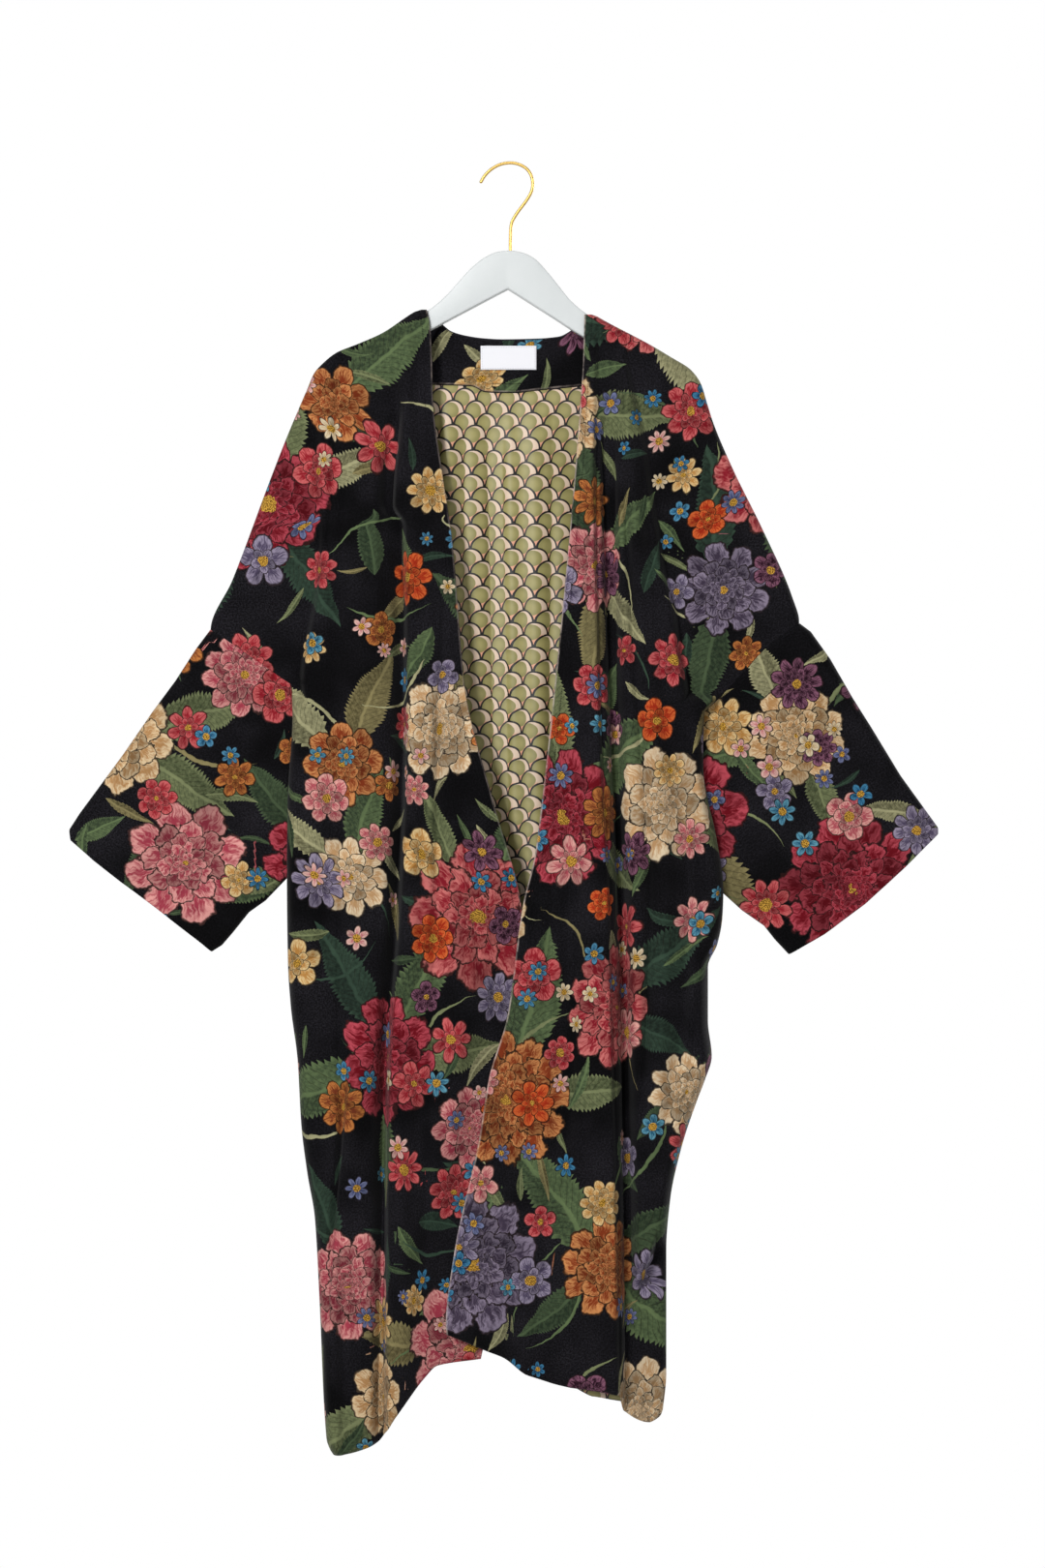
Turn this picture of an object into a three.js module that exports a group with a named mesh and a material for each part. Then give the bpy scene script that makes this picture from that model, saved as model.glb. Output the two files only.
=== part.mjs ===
// Velvet kimono hanging open on a flat wooden hanger, in millimetres.
// The origin is the inner crown of the hook. X runs to the right across the garment as it is
// seen from the front, Y to the back and Z up. Tables give places by "down" from the hook's
// crown, "across" to the right, and "depth" away from the hanger's middle plane.

import * as THREE from "three";

// Cloth and seams
const velvetWall = 2.5;
const facingWall = 2;
const liningWall = 1.6;
const labelWall = 0.8;
const seamGap = 0.3;
const layerGap = 0.4;

// Hanger and hook
const hangerThick = 12;
const hangerBevel = 2.5;
const hangerUnderCloth = 3.4;
const wireRadius = 1.65;
const wireSides = 8;
const wireSteps = 44;
const hookLine = [
  [0.5, 89.7], [0.5, 78], [1.5, 62], [7, 51], [17, 37.5], [22.3, 28], [23.6, 19.5], [21.8, 11],
  [17, 4.3], [9, -0.2], [0, -1.65], [-10, 0], [-19, 4.8], [-26, 11.5], [-30, 18]];

// Label, sewn to the facing
const labelWidth = 58;
const labelHeight = 25;
const labelTop = 187;
const labelMiddle = -1.5;

// Outer line of the garment: shoulder, arm, seam of the sleeve, side
const leftOutline = [
  { down: 149, across: -86 }, { down: 151.5, across: -93.5 }, { down: 156, across: -102 },
  { down: 160, across: -108 }, { down: 176, across: -132 },
  { down: 188, across: -159 }, { down: 196, across: -179 }, { down: 206, across: -192 },
  { down: 217, across: -202 }, { down: 233, across: -209 }, { down: 285, across: -231 },
  { down: 326, across: -247 }, { down: 432, across: -287 }, { down: 482, across: -309 },
  { down: 483, across: -307.5 }, { down: 508, across: -271 }, { down: 538, across: -227.5 },
  { down: 539, across: -226 }, { down: 572, across: -224 },
  { down: 657, across: -229 }, { down: 737, across: -230 }, { down: 825, across: -229 },
  { down: 872, across: -226 }, { down: 927, across: -219 }, { down: 996, across: -215 },
  { down: 1044, across: -209 }, { down: 1092, across: -201 }, { down: 1182, across: -196 },
  { down: 1320, across: -189 }, { down: 1336, across: -183 },
];
const rightOutline = [
  { down: 154, across: 82 }, { down: 165, across: 101 }, { down: 178, across: 126 },
  { down: 187, across: 143 }, { down: 200, across: 165 }, { down: 214, across: 187 },
  { down: 228, across: 197 }, { down: 247, across: 203 }, { down: 269, across: 210 },
  { down: 316, across: 230 }, { down: 379, across: 261 }, { down: 447, across: 291 },
  { down: 476, across: 299 }, { down: 477, across: 297.6 }, { down: 499, across: 267 },
  { down: 527, across: 241 }, { down: 550, across: 219 }, { down: 566, across: 201.1 },
  { down: 567, across: 200 }, { down: 624, across: 199 },
  { down: 659, across: 204 }, { down: 694, across: 212 }, { down: 753, across: 220 },
  { down: 780, across: 219 }, { down: 807, across: 214 }, { down: 831, across: 204 },
  { down: 887, across: 204 }, { down: 924, across: 208 }, { down: 948, across: 201 },
  { down: 969, across: 193 }, { down: 1017, across: 177 }, { down: 1072, across: 165 },
  { down: 1122, across: 161 }, { down: 1252, across: 161 }, { down: 1293, across: 157 },
];

// Front edges of the opening
const leftOpening = [
  { down: 149, across: -87 }, { down: 151.5, across: -86 }, { down: 169, across: -82.5 },
  { down: 203, across: -80.5 }, { down: 244, across: -79.5 },
  { down: 326, across: -69 }, { down: 395, across: -59 }, { down: 505, across: -50 },
  { down: 546, across: -46 }, { down: 660, across: -17 }, { down: 769, across: 12 },
  { down: 900, across: 22 }, { down: 1050, across: 10 }, { down: 1236, across: -30 },
];
const rightOpening = [
  { down: 154, across: 77 }, { down: 195, across: 76 }, { down: 272, across: 71 },
  { down: 368, across: 63 }, { down: 464, across: 54 }, { down: 560, across: 44 },
  { down: 659, across: 33 }, { down: 713, across: 26 }, { down: 769, across: 13 },
  { down: 882, across: -3 }, { down: 942, across: -21 }, { down: 1014, across: -33 },
  { down: 1122, across: -57 }, { down: 1200, across: -66 }, { down: 1209, across: -65 },
];

// Neckline and hems
const neckline = [
  { across: -93.5, down: 151.5 }, { across: -78, down: 157.5 }, { across: -69.5, down: 165 },
  { across: -61, down: 171.5 }, { across: -46, down: 176 }, { across: -27, down: 178.8 },
  { across: -8, down: 179.8 }, { across: 29, down: 179 }, { across: 50.5, down: 177 },
  { across: 63, down: 171 }, { across: 73, down: 162 }, { across: 86.3, down: 156.5 },
];
const leftHem = [
  { across: -183, down: 1336 }, { across: -138, down: 1323 }, { across: -117, down: 1293 },
  { across: -87, down: 1254 }, { across: -75, down: 1243 }, { across: -30, down: 1236 },
];
const rightHem = [
  { across: -65, down: 1209 }, { across: -30, down: 1223 }, { across: -6, down: 1233 },
  { across: 18, down: 1251 }, { across: 60, down: 1263 }, { across: 112, down: 1271 },
  { across: 118, down: 1290 }, { across: 144, down: 1302 }, { across: 157, down: 1293 },
];
const backHem = [
  { across: -183, down: 1336 }, { across: -138, down: 1316 }, { across: -100, down: 1262 },
  { across: -60, down: 1228 }, { across: -20, down: 1222 }, { across: 20, down: 1246 },
  { across: 63, down: 1268 }, { across: 88, down: 1280 }, { across: 118, down: 1284 },
  { across: 157, down: 1293 },
];

// How far the cloth stands from the middle plane: on the arm, and on the body in front and behind
const armDepth = [
  { down: 154, depth: 8.6 }, { down: 300, depth: 9 }, { down: 480, depth: 8.6 },
];
const leftBodyDepth = [
  { down: 154, depth: 8.6 }, { down: 215, depth: 10 }, { down: 330, depth: 19 },
  { down: 540, depth: 25 }, { down: 740, depth: 27 }, { down: 1000, depth: 25 },
  { down: 1336, depth: 22 },
];
const rightBodyDepth = [
  { down: 154, depth: 8.6 }, { down: 215, depth: 10 }, { down: 330, depth: 20 },
  { down: 540, depth: 27 }, { down: 740, depth: 31 }, { down: 1000, depth: 29 },
  { down: 1300, depth: 26 },
];
const leastDepth = 8.4;
const backDepth = [
  { down: 154, depth: 11.6 }, { down: 240, depth: 12 }, { down: 500, depth: 14 },
  { down: 1336, depth: 15 },
];

// Lines where the body's cloth falls forward over the arm, and lower down the last side fold
const leftBodyEdge = [
  { down: 200, across: -186 }, { down: 285, across: -201 }, { down: 395, across: -199 },
  { down: 436, across: -202 }, { down: 477, across: -209 }, { down: 532, across: -218 },
  { down: 600, across: -206 }, { down: 760, across: -176 }, { down: 900, across: -158 },
  { down: 1077, across: -173 }, { down: 1336, across: -176 },
];
const rightBodyEdge = [
  { down: 200, across: 122 }, { down: 291, across: 143 }, { down: 332, across: 148 },
  { down: 381, across: 156 }, { down: 422, across: 162 }, { down: 464, across: 173 },
  { down: 505, across: 178 }, { down: 552, across: 186 }, { down: 640, across: 176 },
  { down: 900, across: 180 }, { down: 1041, across: 176 }, { down: 1086, across: 164 },
  { down: 1131, across: 149 }, { down: 1170, across: 134 }, { down: 1206, across: 128 },
  { down: 1300, across: 123 },
];
const bodyEdgeWidth = 9;
const armEnds = 545;

// Folds of the front panels: a ridge line from top to bottom, how far it rises, and how wide
// its left and right flanks are. A trough has a negative rise.
const leftFolds = [
  { top: 215, low: 1300, rise: 9, left: 9, right: 40,
    line: [[215, -100], [299, -109], [354, -113], [376, -101], [592, -100], [760, -106], [972, -119],
      [1257, -121]] },
  { top: 230, low: 1240, rise: -5, left: 22, right: 8,
    line: [[230, -112], [354, -124], [592, -112], [972, -131], [1240, -134]] },
  { top: 300, low: 1180, rise: 5, left: 22, right: 26,
    line: [[300, -150], [560, -148], [800, -156], [1180, -150]] },
  { top: 380, low: 900, rise: -4, left: 14, right: 16,
    line: [[380, -176], [620, -182], [900, -196]] },
  { top: 480, low: 1130, rise: 5, left: 14, right: 18,
    line: [[480, -66], [700, -62], [900, -52], [1130, -66]] },
  { top: 880, low: 1336, rise: 6, left: 24, right: 20,
    line: [[880, -156], [972, -164], [1077, -173], [1182, -180], [1336, -176]] },
];
const leftArmFolds = [
  { top: 225, low: 440, rise: 5, left: 8, right: 7,
    line: [[225, -184], [299, -189], [354, -196], [440, -206]] },
  { top: 300, low: 482, rise: 3, left: 18, right: 22,
    line: [[300, -216], [482, -262]] },
];
const rightFolds = [
  { top: 240, low: 1300, rise: 9, left: 44, right: 5,
    line: [[240, 84], [326, 84], [491, 87], [646, 92], [753, 98], [972, 103], [1092, 106], [1300, 109]] },
  { top: 240, low: 1240, rise: -8, left: 8, right: 18,
    line: [[240, 97], [409, 99], [646, 105], [833, 112], [1092, 117], [1240, 120]] },
  { top: 520, low: 1209, rise: -5, left: 16, right: 22,
    line: [[520, 66], [753, 62], [972, 50], [1209, 30]] },
  { top: 700, low: 1209, rise: 4, left: 16, right: 20,
    line: [[700, 40], [972, 8], [1209, -22]] },
  { top: 330, low: 1060, rise: 6, left: 16, right: 15,
    line: [[330, 126], [560, 146], [760, 160], [1060, 144]] },
  { top: 600, low: 1000, rise: -5, left: 12, right: 14,
    line: [[600, 170], [753, 184], [1000, 168]] },
];
const rightArmFolds = [
  { top: 290, low: 520, rise: -3, left: 10, right: 16,
    line: [[290, 160], [470, 190], [520, 196]] },
  { top: 240, low: 476, rise: 4, left: 18, right: 22,
    line: [[240, 176], [476, 250]] },
];

// Soft folds down the back and its lining
const backFolds = [
  { top: 260, low: 1330, rise: 4, left: 30, right: 22,
    line: [[260, -128], [700, -136], [1330, -140]] },
  { top: 230, low: 1260, rise: -4, left: 20, right: 16,
    line: [[230, -62], [600, -66], [1260, -80]] },
  { top: 215, low: 1230, rise: 4, left: 18, right: 24,
    line: [[215, -24], [600, -20], [1230, -36]] },
  { top: 215, low: 1250, rise: -4, left: 18, right: 14,
    line: [[215, 22], [600, 26], [1250, 18]] },
  { top: 230, low: 1270, rise: 4, left: 20, right: 26,
    line: [[230, 62], [700, 72], [1270, 70]] },
  { top: 300, low: 1290, rise: -3, left: 22, right: 24,
    line: [[300, 116], [700, 124], [1290, 122]] },
];

// The left front slips under the right one below the crossing of the fronts
const crossingDown = 700;
const underDepth = 12;
const underReach = 46;

// Below this height the right front's side falls back to a strip that lies behind its last fold
const rightStrip = [
  { down: 1020, across: 176 }, { down: 1041, across: 167 }, { down: 1086, across: 155 },
  { down: 1131, across: 140 }, { down: 1170, across: 125 }, { down: 1206, across: 119 },
  { down: 1300, across: 114 },
];
const stripDepth = 8.6;
const stripFrom = 1015;
const stripWidth = 8;

// Width of the rounded turn from the front to the back at the outer line
const turnWidth = [
  { down: 154, width: 7 }, { down: 215, width: 8 }, { down: 470, width: 8 },
  { down: 484, width: 1 }, { down: 530, width: 1 }, { down: 560, width: 8 },
  { down: 800, width: 12 }, { down: 1336, width: 10 },
];

// Heights where the sleeve's seam starts and where the underarm closes
const leftSeam = { top: 482, corner: 539, low: 737 };
const rightSeam = { top: 476, corner: 567, low: 753 };

// Lower sleeves: their upper and lower edges from the seam to the cuff, and the cuff
const leftSleeveLines = {
  upper: [[-309, 482], [-324, 502], [-346, 536], [-369, 567], [-400, 612], [-445, 673], [-456, 690]],
  lower: [[-230, 737], [-254, 762], [-271, 774], [-287, 794], [-299, 808], [-310, 815]],
  seam: [[-309, 482], [-271, 508], [-226, 539], [-224, 572], [-229, 657], [-230, 737]],
  cuff: [[-456, 690], [-455, 700], [-431, 721], [-403, 743], [-363, 773], [-318, 808], [-310, 815]],
};
const rightSleeveLines = {
  upper: [[299, 476], [311, 485], [331, 513], [354, 553], [373, 583], [404, 634], [443, 688]],
  lower: [[220, 753], [241, 772], [264, 788], [275, 802], [290, 818]],
  seam: [[299, 476], [267, 499], [241, 527], [219, 550], [200, 567], [199, 624], [204, 659], [212, 694],
    [220, 753]],
  cuff: [[443, 688], [443, 694], [410, 727], [368, 766], [326, 797], [290, 818]],
};
const sleeveDepth = 8.6;
const cuffDepth = 7.6;
const sleeveTurn = 8;
const sleeveRings = 11;
const sleeveRim = [0, 0.006, 0.025];
const sleeveSeamColumns = 4;
const sleeveLowColumns = 5;
const sleeveFolds = [
  { at: 0.3, rise: 2.4, width: 0.12 }, { at: 0.55, rise: -1.6, width: 0.14 },
  { at: 0.78, rise: 1.8, width: 0.1 },
];

const sleeveShift = { across: 2.7, down: 1 };

// Heights that rows of points pass through: the neck, the shoulder's end, both ends of the part of
// the sleeve's seam that shows, and the hem; and how many rows lie between them
const leftMarks = [151.5, 240, 482, 539, 1336];
const rightMarks = [156.5, 240, 476, 567, 1293];
const leftInnerMarks = [151.5, 236, 470, 545, 1236];
const rightInnerMarks = [156.5, 236, 470, 560, 1209];
const frontRows = [9, 10, 6, 20];
const backRows = [8, 8, 5, 12];

// Facing and lining
const facingTop = 1.5;
const facingLow = [
  { across: -100, down: 226 }, { across: -40, down: 228 }, { across: -25, down: 234 },
  { across: 4, down: 235 }, { across: 34, down: 232 }, { across: 96, down: 226 },
];
const facingSides = { topLeft: -71, topRight: 69, lowLeft: -100, lowRight: 96 };
const liningSides = { left: -155, right: 140 };
const liningColumns = 18;
const liningHangs = 1.8;
const liningBelowFacing = 1.2;
const armColumns = 3;
const liningAboveHem = 5;

// Outline of the wood: upper edge from the middle to the tip, then back along the under side
const hangerUpperLeft = [
  [-76, 145.2], [-65, 135.2], [-53, 121.7], [-38, 105.7], [-25, 96], [-13, 91]];
const hangerUpperRight = [
  [0, 90], [13, 91.8], [25, 97.6], [37, 109.6], [50, 125.6], [63, 141.6], [75, 152]];
const hangerTopPlaces = [85, 96, 110, 130, 150, 175];
const hangerTipLeft = [[-186, 230], [-193, 226], [-192, 214]];
const hangerTipRight = [[189, 222], [190, 232], [184, 238]];
const hangerUnderLeft = [[-150, 209], [-84, 173.3], [-2, 129.9]];
const hangerUnderRight = [[78, 180.5], [146, 215]];

// Value of a column at a place, joined smoothly between rows without overshoot
function along(table, key, place, column) {
  const last = table.length - 1;
  if (place <= table[0][key]) return table[0][column];
  if (place >= table[last][key]) return table[last][column];
  let i = 0;
  while (table[i + 1][key] < place) i += 1;
  const step = (k) => table[k + 1][key] - table[k][key];
  const slope = (k) => (table[k + 1][column] - table[k][column]) / step(k);
  const tangent = (k) => {
    if (k === 0) return slope(0);
    if (k === last) return slope(last - 1);
    const before = slope(k - 1);
    const after = slope(k);
    return before * after <= 0 ? 0 : (2 * before * after) / (before + after);
  };
  const h = step(i);
  const t = (place - table[i][key]) / h;
  const ease = t * t * (3 - 2 * t);
  const bend = h * (t * (1 - t) * (1 - t) * tangent(i) - t * t * (1 - t) * tangent(i + 1));
  return table[i][column] * (1 - ease) + table[i + 1][column] * ease + bend;
}

function lerp(a, b, t) {
  return a + (b - a) * t;
}

function clamp(value, low, high) {
  return Math.min(high, Math.max(low, value));
}

function smoothstep(t) {
  const s = clamp(t, 0, 1);
  return s * s * (3 - 2 * s);
}

// Point at a fraction of the length of a line of [across, down] points
function onLine(line, fraction) {
  const lengths = line.slice(1).map((p, i) => Math.hypot(p[0] - line[i][0], p[1] - line[i][1]));
  let left = clamp(fraction, 0, 1) * lengths.reduce((sum, n) => sum + n, 0);
  let i = 0;
  while (i < lengths.length - 1 && left > lengths[i]) {
    left -= lengths[i];
    i += 1;
  }
  const t = clamp(left / lengths[i], 0, 1);
  return [lerp(line[i][0], line[i + 1][0], t), lerp(line[i][1], line[i + 1][1], t)];
}

// Fraction of a line's length at which it reaches one of its own points
function lineFraction(line, index) {
  const lengths = line.slice(1).map((p, i) => Math.hypot(p[0] - line[i][0], p[1] - line[i][1]));
  const total = lengths.reduce((sum, n) => sum + n, 0);
  return lengths.slice(0, index).reduce((sum, n) => sum + n, 0) / total;
}

// Sum of the folds at a point of a panel: each is a cosine bump across its line
function foldRise(folds, across, down) {
  const fadeLength = 90;
  let sum = 0;
  for (const fold of folds) {
    const rows = fold.line.map(([d, a]) => ({ down: d, across: a }));
    const offset = across - along(rows, "down", down, "across");
    const reach = Math.abs(offset) / (offset < 0 ? fold.left : fold.right);
    if (reach < 1) {
      const fade = smoothstep((down - fold.top) / fadeLength) *
        (fold.low >= 1200 ? 1 : smoothstep((fold.low - down) / fadeLength));
      sum += fold.rise * fade * 0.5 * (1 + Math.cos(Math.PI * reach));
    }
  }
  return sum;
}

// Distance of the left front from the middle plane
function leftDepth(across, down) {
  const arm = along(armDepth, "down", down, "depth") + foldRise(leftArmFolds, across, down);
  let body = along(leftBodyDepth, "down", down, "depth") + foldRise(leftFolds, across, down);
  const cover = along(rightOpening, "down", down, "across") - underReach;
  const under = smoothstep((down - crossingDown) / 90) * smoothstep((across - cover) / 36);
  body = lerp(body, underDepth, under);
  const onBody = smoothstep((across - along(leftBodyEdge, "down", down, "across")) / bodyEdgeWidth);
  const belowArm = smoothstep((down - armEnds) / 16);
  return Math.max(lerp(arm, body, Math.max(onBody, belowArm)), leastDepth);
}

// Distance of the right front from the middle plane
function rightDepth(across, down) {
  const arm = along(armDepth, "down", down, "depth") + foldRise(rightArmFolds, across, down);
  let body = along(rightBodyDepth, "down", down, "depth") + foldRise(rightFolds, across, down);
  const strip = smoothstep((down - stripFrom) / 40) *
    smoothstep((across - along(rightStrip, "down", down, "across")) / stripWidth);
  body = lerp(body, stripDepth, strip);
  const onBody = smoothstep((along(rightBodyEdge, "down", down, "across") - across) / bodyEdgeWidth);
  const belowArm = smoothstep((down - armEnds) / 16);
  return Math.max(lerp(arm, body, Math.max(onBody, belowArm)), leastDepth);
}

// Distance of the back from the middle plane
function backRise(across, down) {
  return along(backDepth, "down", down, "depth") + foldRise(backFolds, across, down);
}

// How far the turn at the outer line goes: 1 meets the other panel, less leaves the armhole open
function turnEnd(seam, down, depth) {
  const opened = smoothstep((down - seam.top + 8) / 12) * smoothstep((seam.low - down) / 16);
  return lerp(0, armDepth[2].depth / depth, opened);
}

// How far out a point of the turn lies, from 0 at its start to 1 at the outer line
function turnShare(angle, end, flatShare) {
  return end > 0.02 ? Math.sin(angle) / Math.sin(end) : flatShare;
}

// Heights of a panel's rows at its two edges, and how far down the panel each row lies
function rowStations(counts, nearMarks, farMarks) {
  const stations = [];
  const add = (near, far) => {
    const last = farMarks.length - 1;
    stations.push({ near, far, progress: (far - farMarks[0]) / (farMarks[last] - farMarks[0]) });
  };
  counts.forEach((count, i) => {
    for (let k = 0; k < count; k += 1) {
      add(lerp(nearMarks[i], nearMarks[i + 1], k / count), lerp(farMarks[i], farMarks[i + 1], k / count));
    }
  });
  add(nearMarks[counts.length], farMarks[counts.length]);
  return stations;
}

// A front panel as rows of points: fold lines guide the columns, and the turn closes the side
function frontGrid(side) {
  const turnSteps = 3;
  const hemInnerDown = side.innerMarks[side.innerMarks.length - 1];
  const hemOuterDown = side.outerMarks[side.outerMarks.length - 1];
  const hemInner = along(side.opening, "down", hemInnerDown, "across");
  const stations = rowStations(frontRows, side.innerMarks, side.outerMarks);
  return stations.map(({ near: innerDown, far: outerDown, progress }) => {
    const inner = along(side.opening, "down", innerDown, "across");
    const outer = along(side.outline, "down", outerDown, "across");
    const span = Math.abs(outer - inner);
    const turn = Math.min(along(turnWidth, "down", outerDown, "width"), span * 0.5);
    const edge = outer - side.sign * turn;
    const marks = guideMarks(side, inner, edge, lerp(innerDown, outerDown, 0.5));
    const hemShift = (across) => {
      const t = clamp((across - hemInner) / (side.hemOuter - hemInner), 0, 1);
      const hemDown = along(side.hem, "across", lerp(hemInner, side.hemOuter, t), "down");
      const straight = lerp(hemInnerDown, hemOuterDown, t);
      return (hemDown - straight) * smoothstep((progress - 0.55) / 0.45);
    };
    const points = marks.map((across) => {
      const t = (across - inner) / (outer - inner);
      const down = lerp(innerDown, outerDown, t) + hemShift(across);
      return new THREE.Vector3(across, -side.depth(across, down), -down);
    });
    const rimDepth = -points[points.length - 1].y;
    const rimDown = -points[points.length - 1].z;
    const end = Math.acos(clamp(turnEnd(side.seam, outerDown, rimDepth), 0, 1));
    for (let k = 1; k <= turnSteps; k += 1) {
      const angle = (end * k) / turnSteps;
      const across = edge + side.sign * turn * turnShare(angle, end, k / turnSteps);
      const y = Math.min(-rimDepth * Math.cos(angle), -seamGap / 2);
      points.push(new THREE.Vector3(across, y, -lerp(rimDown, outerDown, k / turnSteps)));
    }
    return points;
  });
}

// Columns between an inner and an outer edge, shared out between the guide lines
function guideMarks(side, inner, edge, down) {
  const width = side.sign * (edge - inner);
  const least = width / 60;
  const counts = side.columns;
  const places = [0, ...side.guides.map((guide) => side.sign * (guide(down) - inner)), width];
  for (let i = 1; i < places.length; i += 1) {
    places[i] = Math.max(places[i], places[i - 1] + least * counts[i - 1]);
  }
  places[places.length - 1] = width;
  for (let i = places.length - 2; i > 0; i -= 1) {
    places[i] = Math.min(places[i], places[i + 1] - least * counts[i]);
  }
  const marks = [];
  counts.forEach((count, i) => {
    for (let k = 0; k < count; k += 1) marks.push(lerp(places[i], places[i + 1], k / count));
  });
  marks.push(width);
  return marks.map((place) => inner + side.sign * place);
}

// Closed mesh from a list of corner points and triangles, turned so that its faces point out
function closedGeometry(points, triangles) {
  let volume = 0;
  for (const [a, b, c] of triangles) {
    volume += points[a].dot(new THREE.Vector3().crossVectors(points[b], points[c]));
  }
  const ordered = volume < 0 ? triangles.map(([a, b, c]) => [a, c, b]) : triangles;
  const geometry = new THREE.BufferGeometry();
  geometry.setAttribute("position",
    new THREE.Float32BufferAttribute(points.flatMap((p) => [p.x, p.y, p.z]), 3));
  geometry.setIndex(ordered.flat());
  return geometry;
}

// Directions square to a grid of points, from the differences between their neighbours
function gridNormals(grid, ring) {
  const rows = grid.length;
  const columns = grid[0].length;
  return grid.map((row, i) => row.map((point, j) => {
    const above = grid[Math.max(i - 1, 0)][j];
    const below = grid[Math.min(i + 1, rows - 1)][j];
    const before = ring ? row[(j + columns - 1) % columns] : row[Math.max(j - 1, 0)];
    const after = ring ? row[(j + 1) % columns] : row[Math.min(j + 1, columns - 1)];
    const downwards = new THREE.Vector3().subVectors(below, above);
    const sideways = new THREE.Vector3().subVectors(after, before);
    return new THREE.Vector3().crossVectors(sideways, downwards).normalize();
  }));
}

// Wall of cloth between two distances from a grid of points. A ring joins its last column to its
// first, every open edge is closed across the wall, and the wall stays between lowY and highY.
function clothWall(grid, near, far, ring = false, lowY = -Infinity, highY = Infinity) {
  const rows = grid.length;
  const columns = grid[0].length;
  const normals = gridNormals(grid, ring);
  const shift = (amount) => grid.flatMap((row, i) => row.map((point, j) => {
    const moved = point.clone().addScaledVector(normals[i][j], amount);
    moved.y = clamp(moved.y, lowY, highY);
    return moved;
  }));
  const points = [...shift(near), ...shift(far)];
  const place = (i, j, layer) => layer * rows * columns + i * columns + (j % columns);
  const triangles = [];
  const quad = (a, b, c, d) => triangles.push([a, b, c], [a, c, d]);
  const strips = ring ? columns : columns - 1;
  for (let i = 0; i < rows - 1; i += 1) {
    for (let j = 0; j < strips; j += 1) {
      quad(place(i, j, 0), place(i, j + 1, 0), place(i + 1, j + 1, 0), place(i + 1, j, 0));
      quad(place(i, j, 1), place(i + 1, j, 1), place(i + 1, j + 1, 1), place(i, j + 1, 1));
    }
  }
  for (let j = 0; j < strips; j += 1) {
    quad(place(0, j, 0), place(0, j, 1), place(0, j + 1, 1), place(0, j + 1, 0));
    quad(place(rows - 1, j + 1, 0), place(rows - 1, j + 1, 1), place(rows - 1, j, 1), place(rows - 1, j, 0));
  }
  for (let i = 0; i < rows - 1 && !ring; i += 1) {
    const end = columns - 1;
    quad(place(i + 1, 0, 0), place(i + 1, 0, 1), place(i, 0, 1), place(i, 0, 0));
    quad(place(i, end, 0), place(i, end, 1), place(i + 1, end, 1), place(i + 1, end, 0));
  }
  return closedGeometry(points, triangles);
}

// Back panel, with the turn forward to the fronts at both outer lines
function backGrid() {
  const turnSteps = 3;
  const body = {
    sign: 1, columns: [armColumns, liningColumns, armColumns],
    guides: [() => liningSides.left, () => liningSides.right],
  };
  const hemLeft = backHem[0];
  const hemRight = backHem[backHem.length - 1];
  return rowStations(backRows, rightMarks, leftMarks).map(({ near: rightDown, far: leftDown, progress }) => {
    const left = along(leftOutline, "down", leftDown, "across");
    const right = along(rightOutline, "down", rightDown, "across");
    const turnLeft = along(turnWidth, "down", leftDown, "width");
    const turnRight = along(turnWidth, "down", rightDown, "width");
    const marks = guideMarks(body, left + turnLeft, right - turnRight, leftDown);
    const middle = marks.map((across) => {
      const t = (across - left) / (right - left);
      const neckPlace = lerp(neckline[0].across, neckline[neckline.length - 1].across, t);
      const neckEnds = lerp(neckline[0].down, neckline[neckline.length - 1].down, t);
      const neckDip = along(neckline, "across", neckPlace, "down") - neckEnds;
      const hemDown = along(backHem, "across", lerp(hemLeft.across, hemRight.across, t), "down");
      const dip = neckDip * (1 - smoothstep(progress / 0.12));
      const straight = lerp(hemLeft.down, hemRight.down, t);
      const hemShift = (hemDown - straight) * smoothstep((progress - 0.55) / 0.45);
      const down = lerp(leftDown, rightDown, t) + dip + hemShift;
      return new THREE.Vector3(across, backRise(across, down), -down);
    });
    const turned = (rim, outer, outerDown, turn, sign, seam) => {
      const end = Math.acos(clamp(turnEnd(seam, outerDown, rim.y), 0, 1));
      return Array.from({ length: turnSteps }, (_, k) => {
        const angle = (end * (k + 1)) / turnSteps;
        const y = Math.max(rim.y * Math.cos(angle), seamGap / 2);
        const across = outer - sign * turn * (1 - turnShare(angle, end, (k + 1) / turnSteps));
        return new THREE.Vector3(across, y, -lerp(-rim.z, outerDown, (k + 1) / turnSteps));
      });
    };
    const leftTurn = turned(middle[0], left, leftDown, turnLeft, -1, leftSeam);
    const rightTurn = turned(middle[middle.length - 1], right, rightDown, turnRight, 1, rightSeam);
    return [...leftTurn.reverse(), ...middle, ...rightTurn];
  });
}

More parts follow.
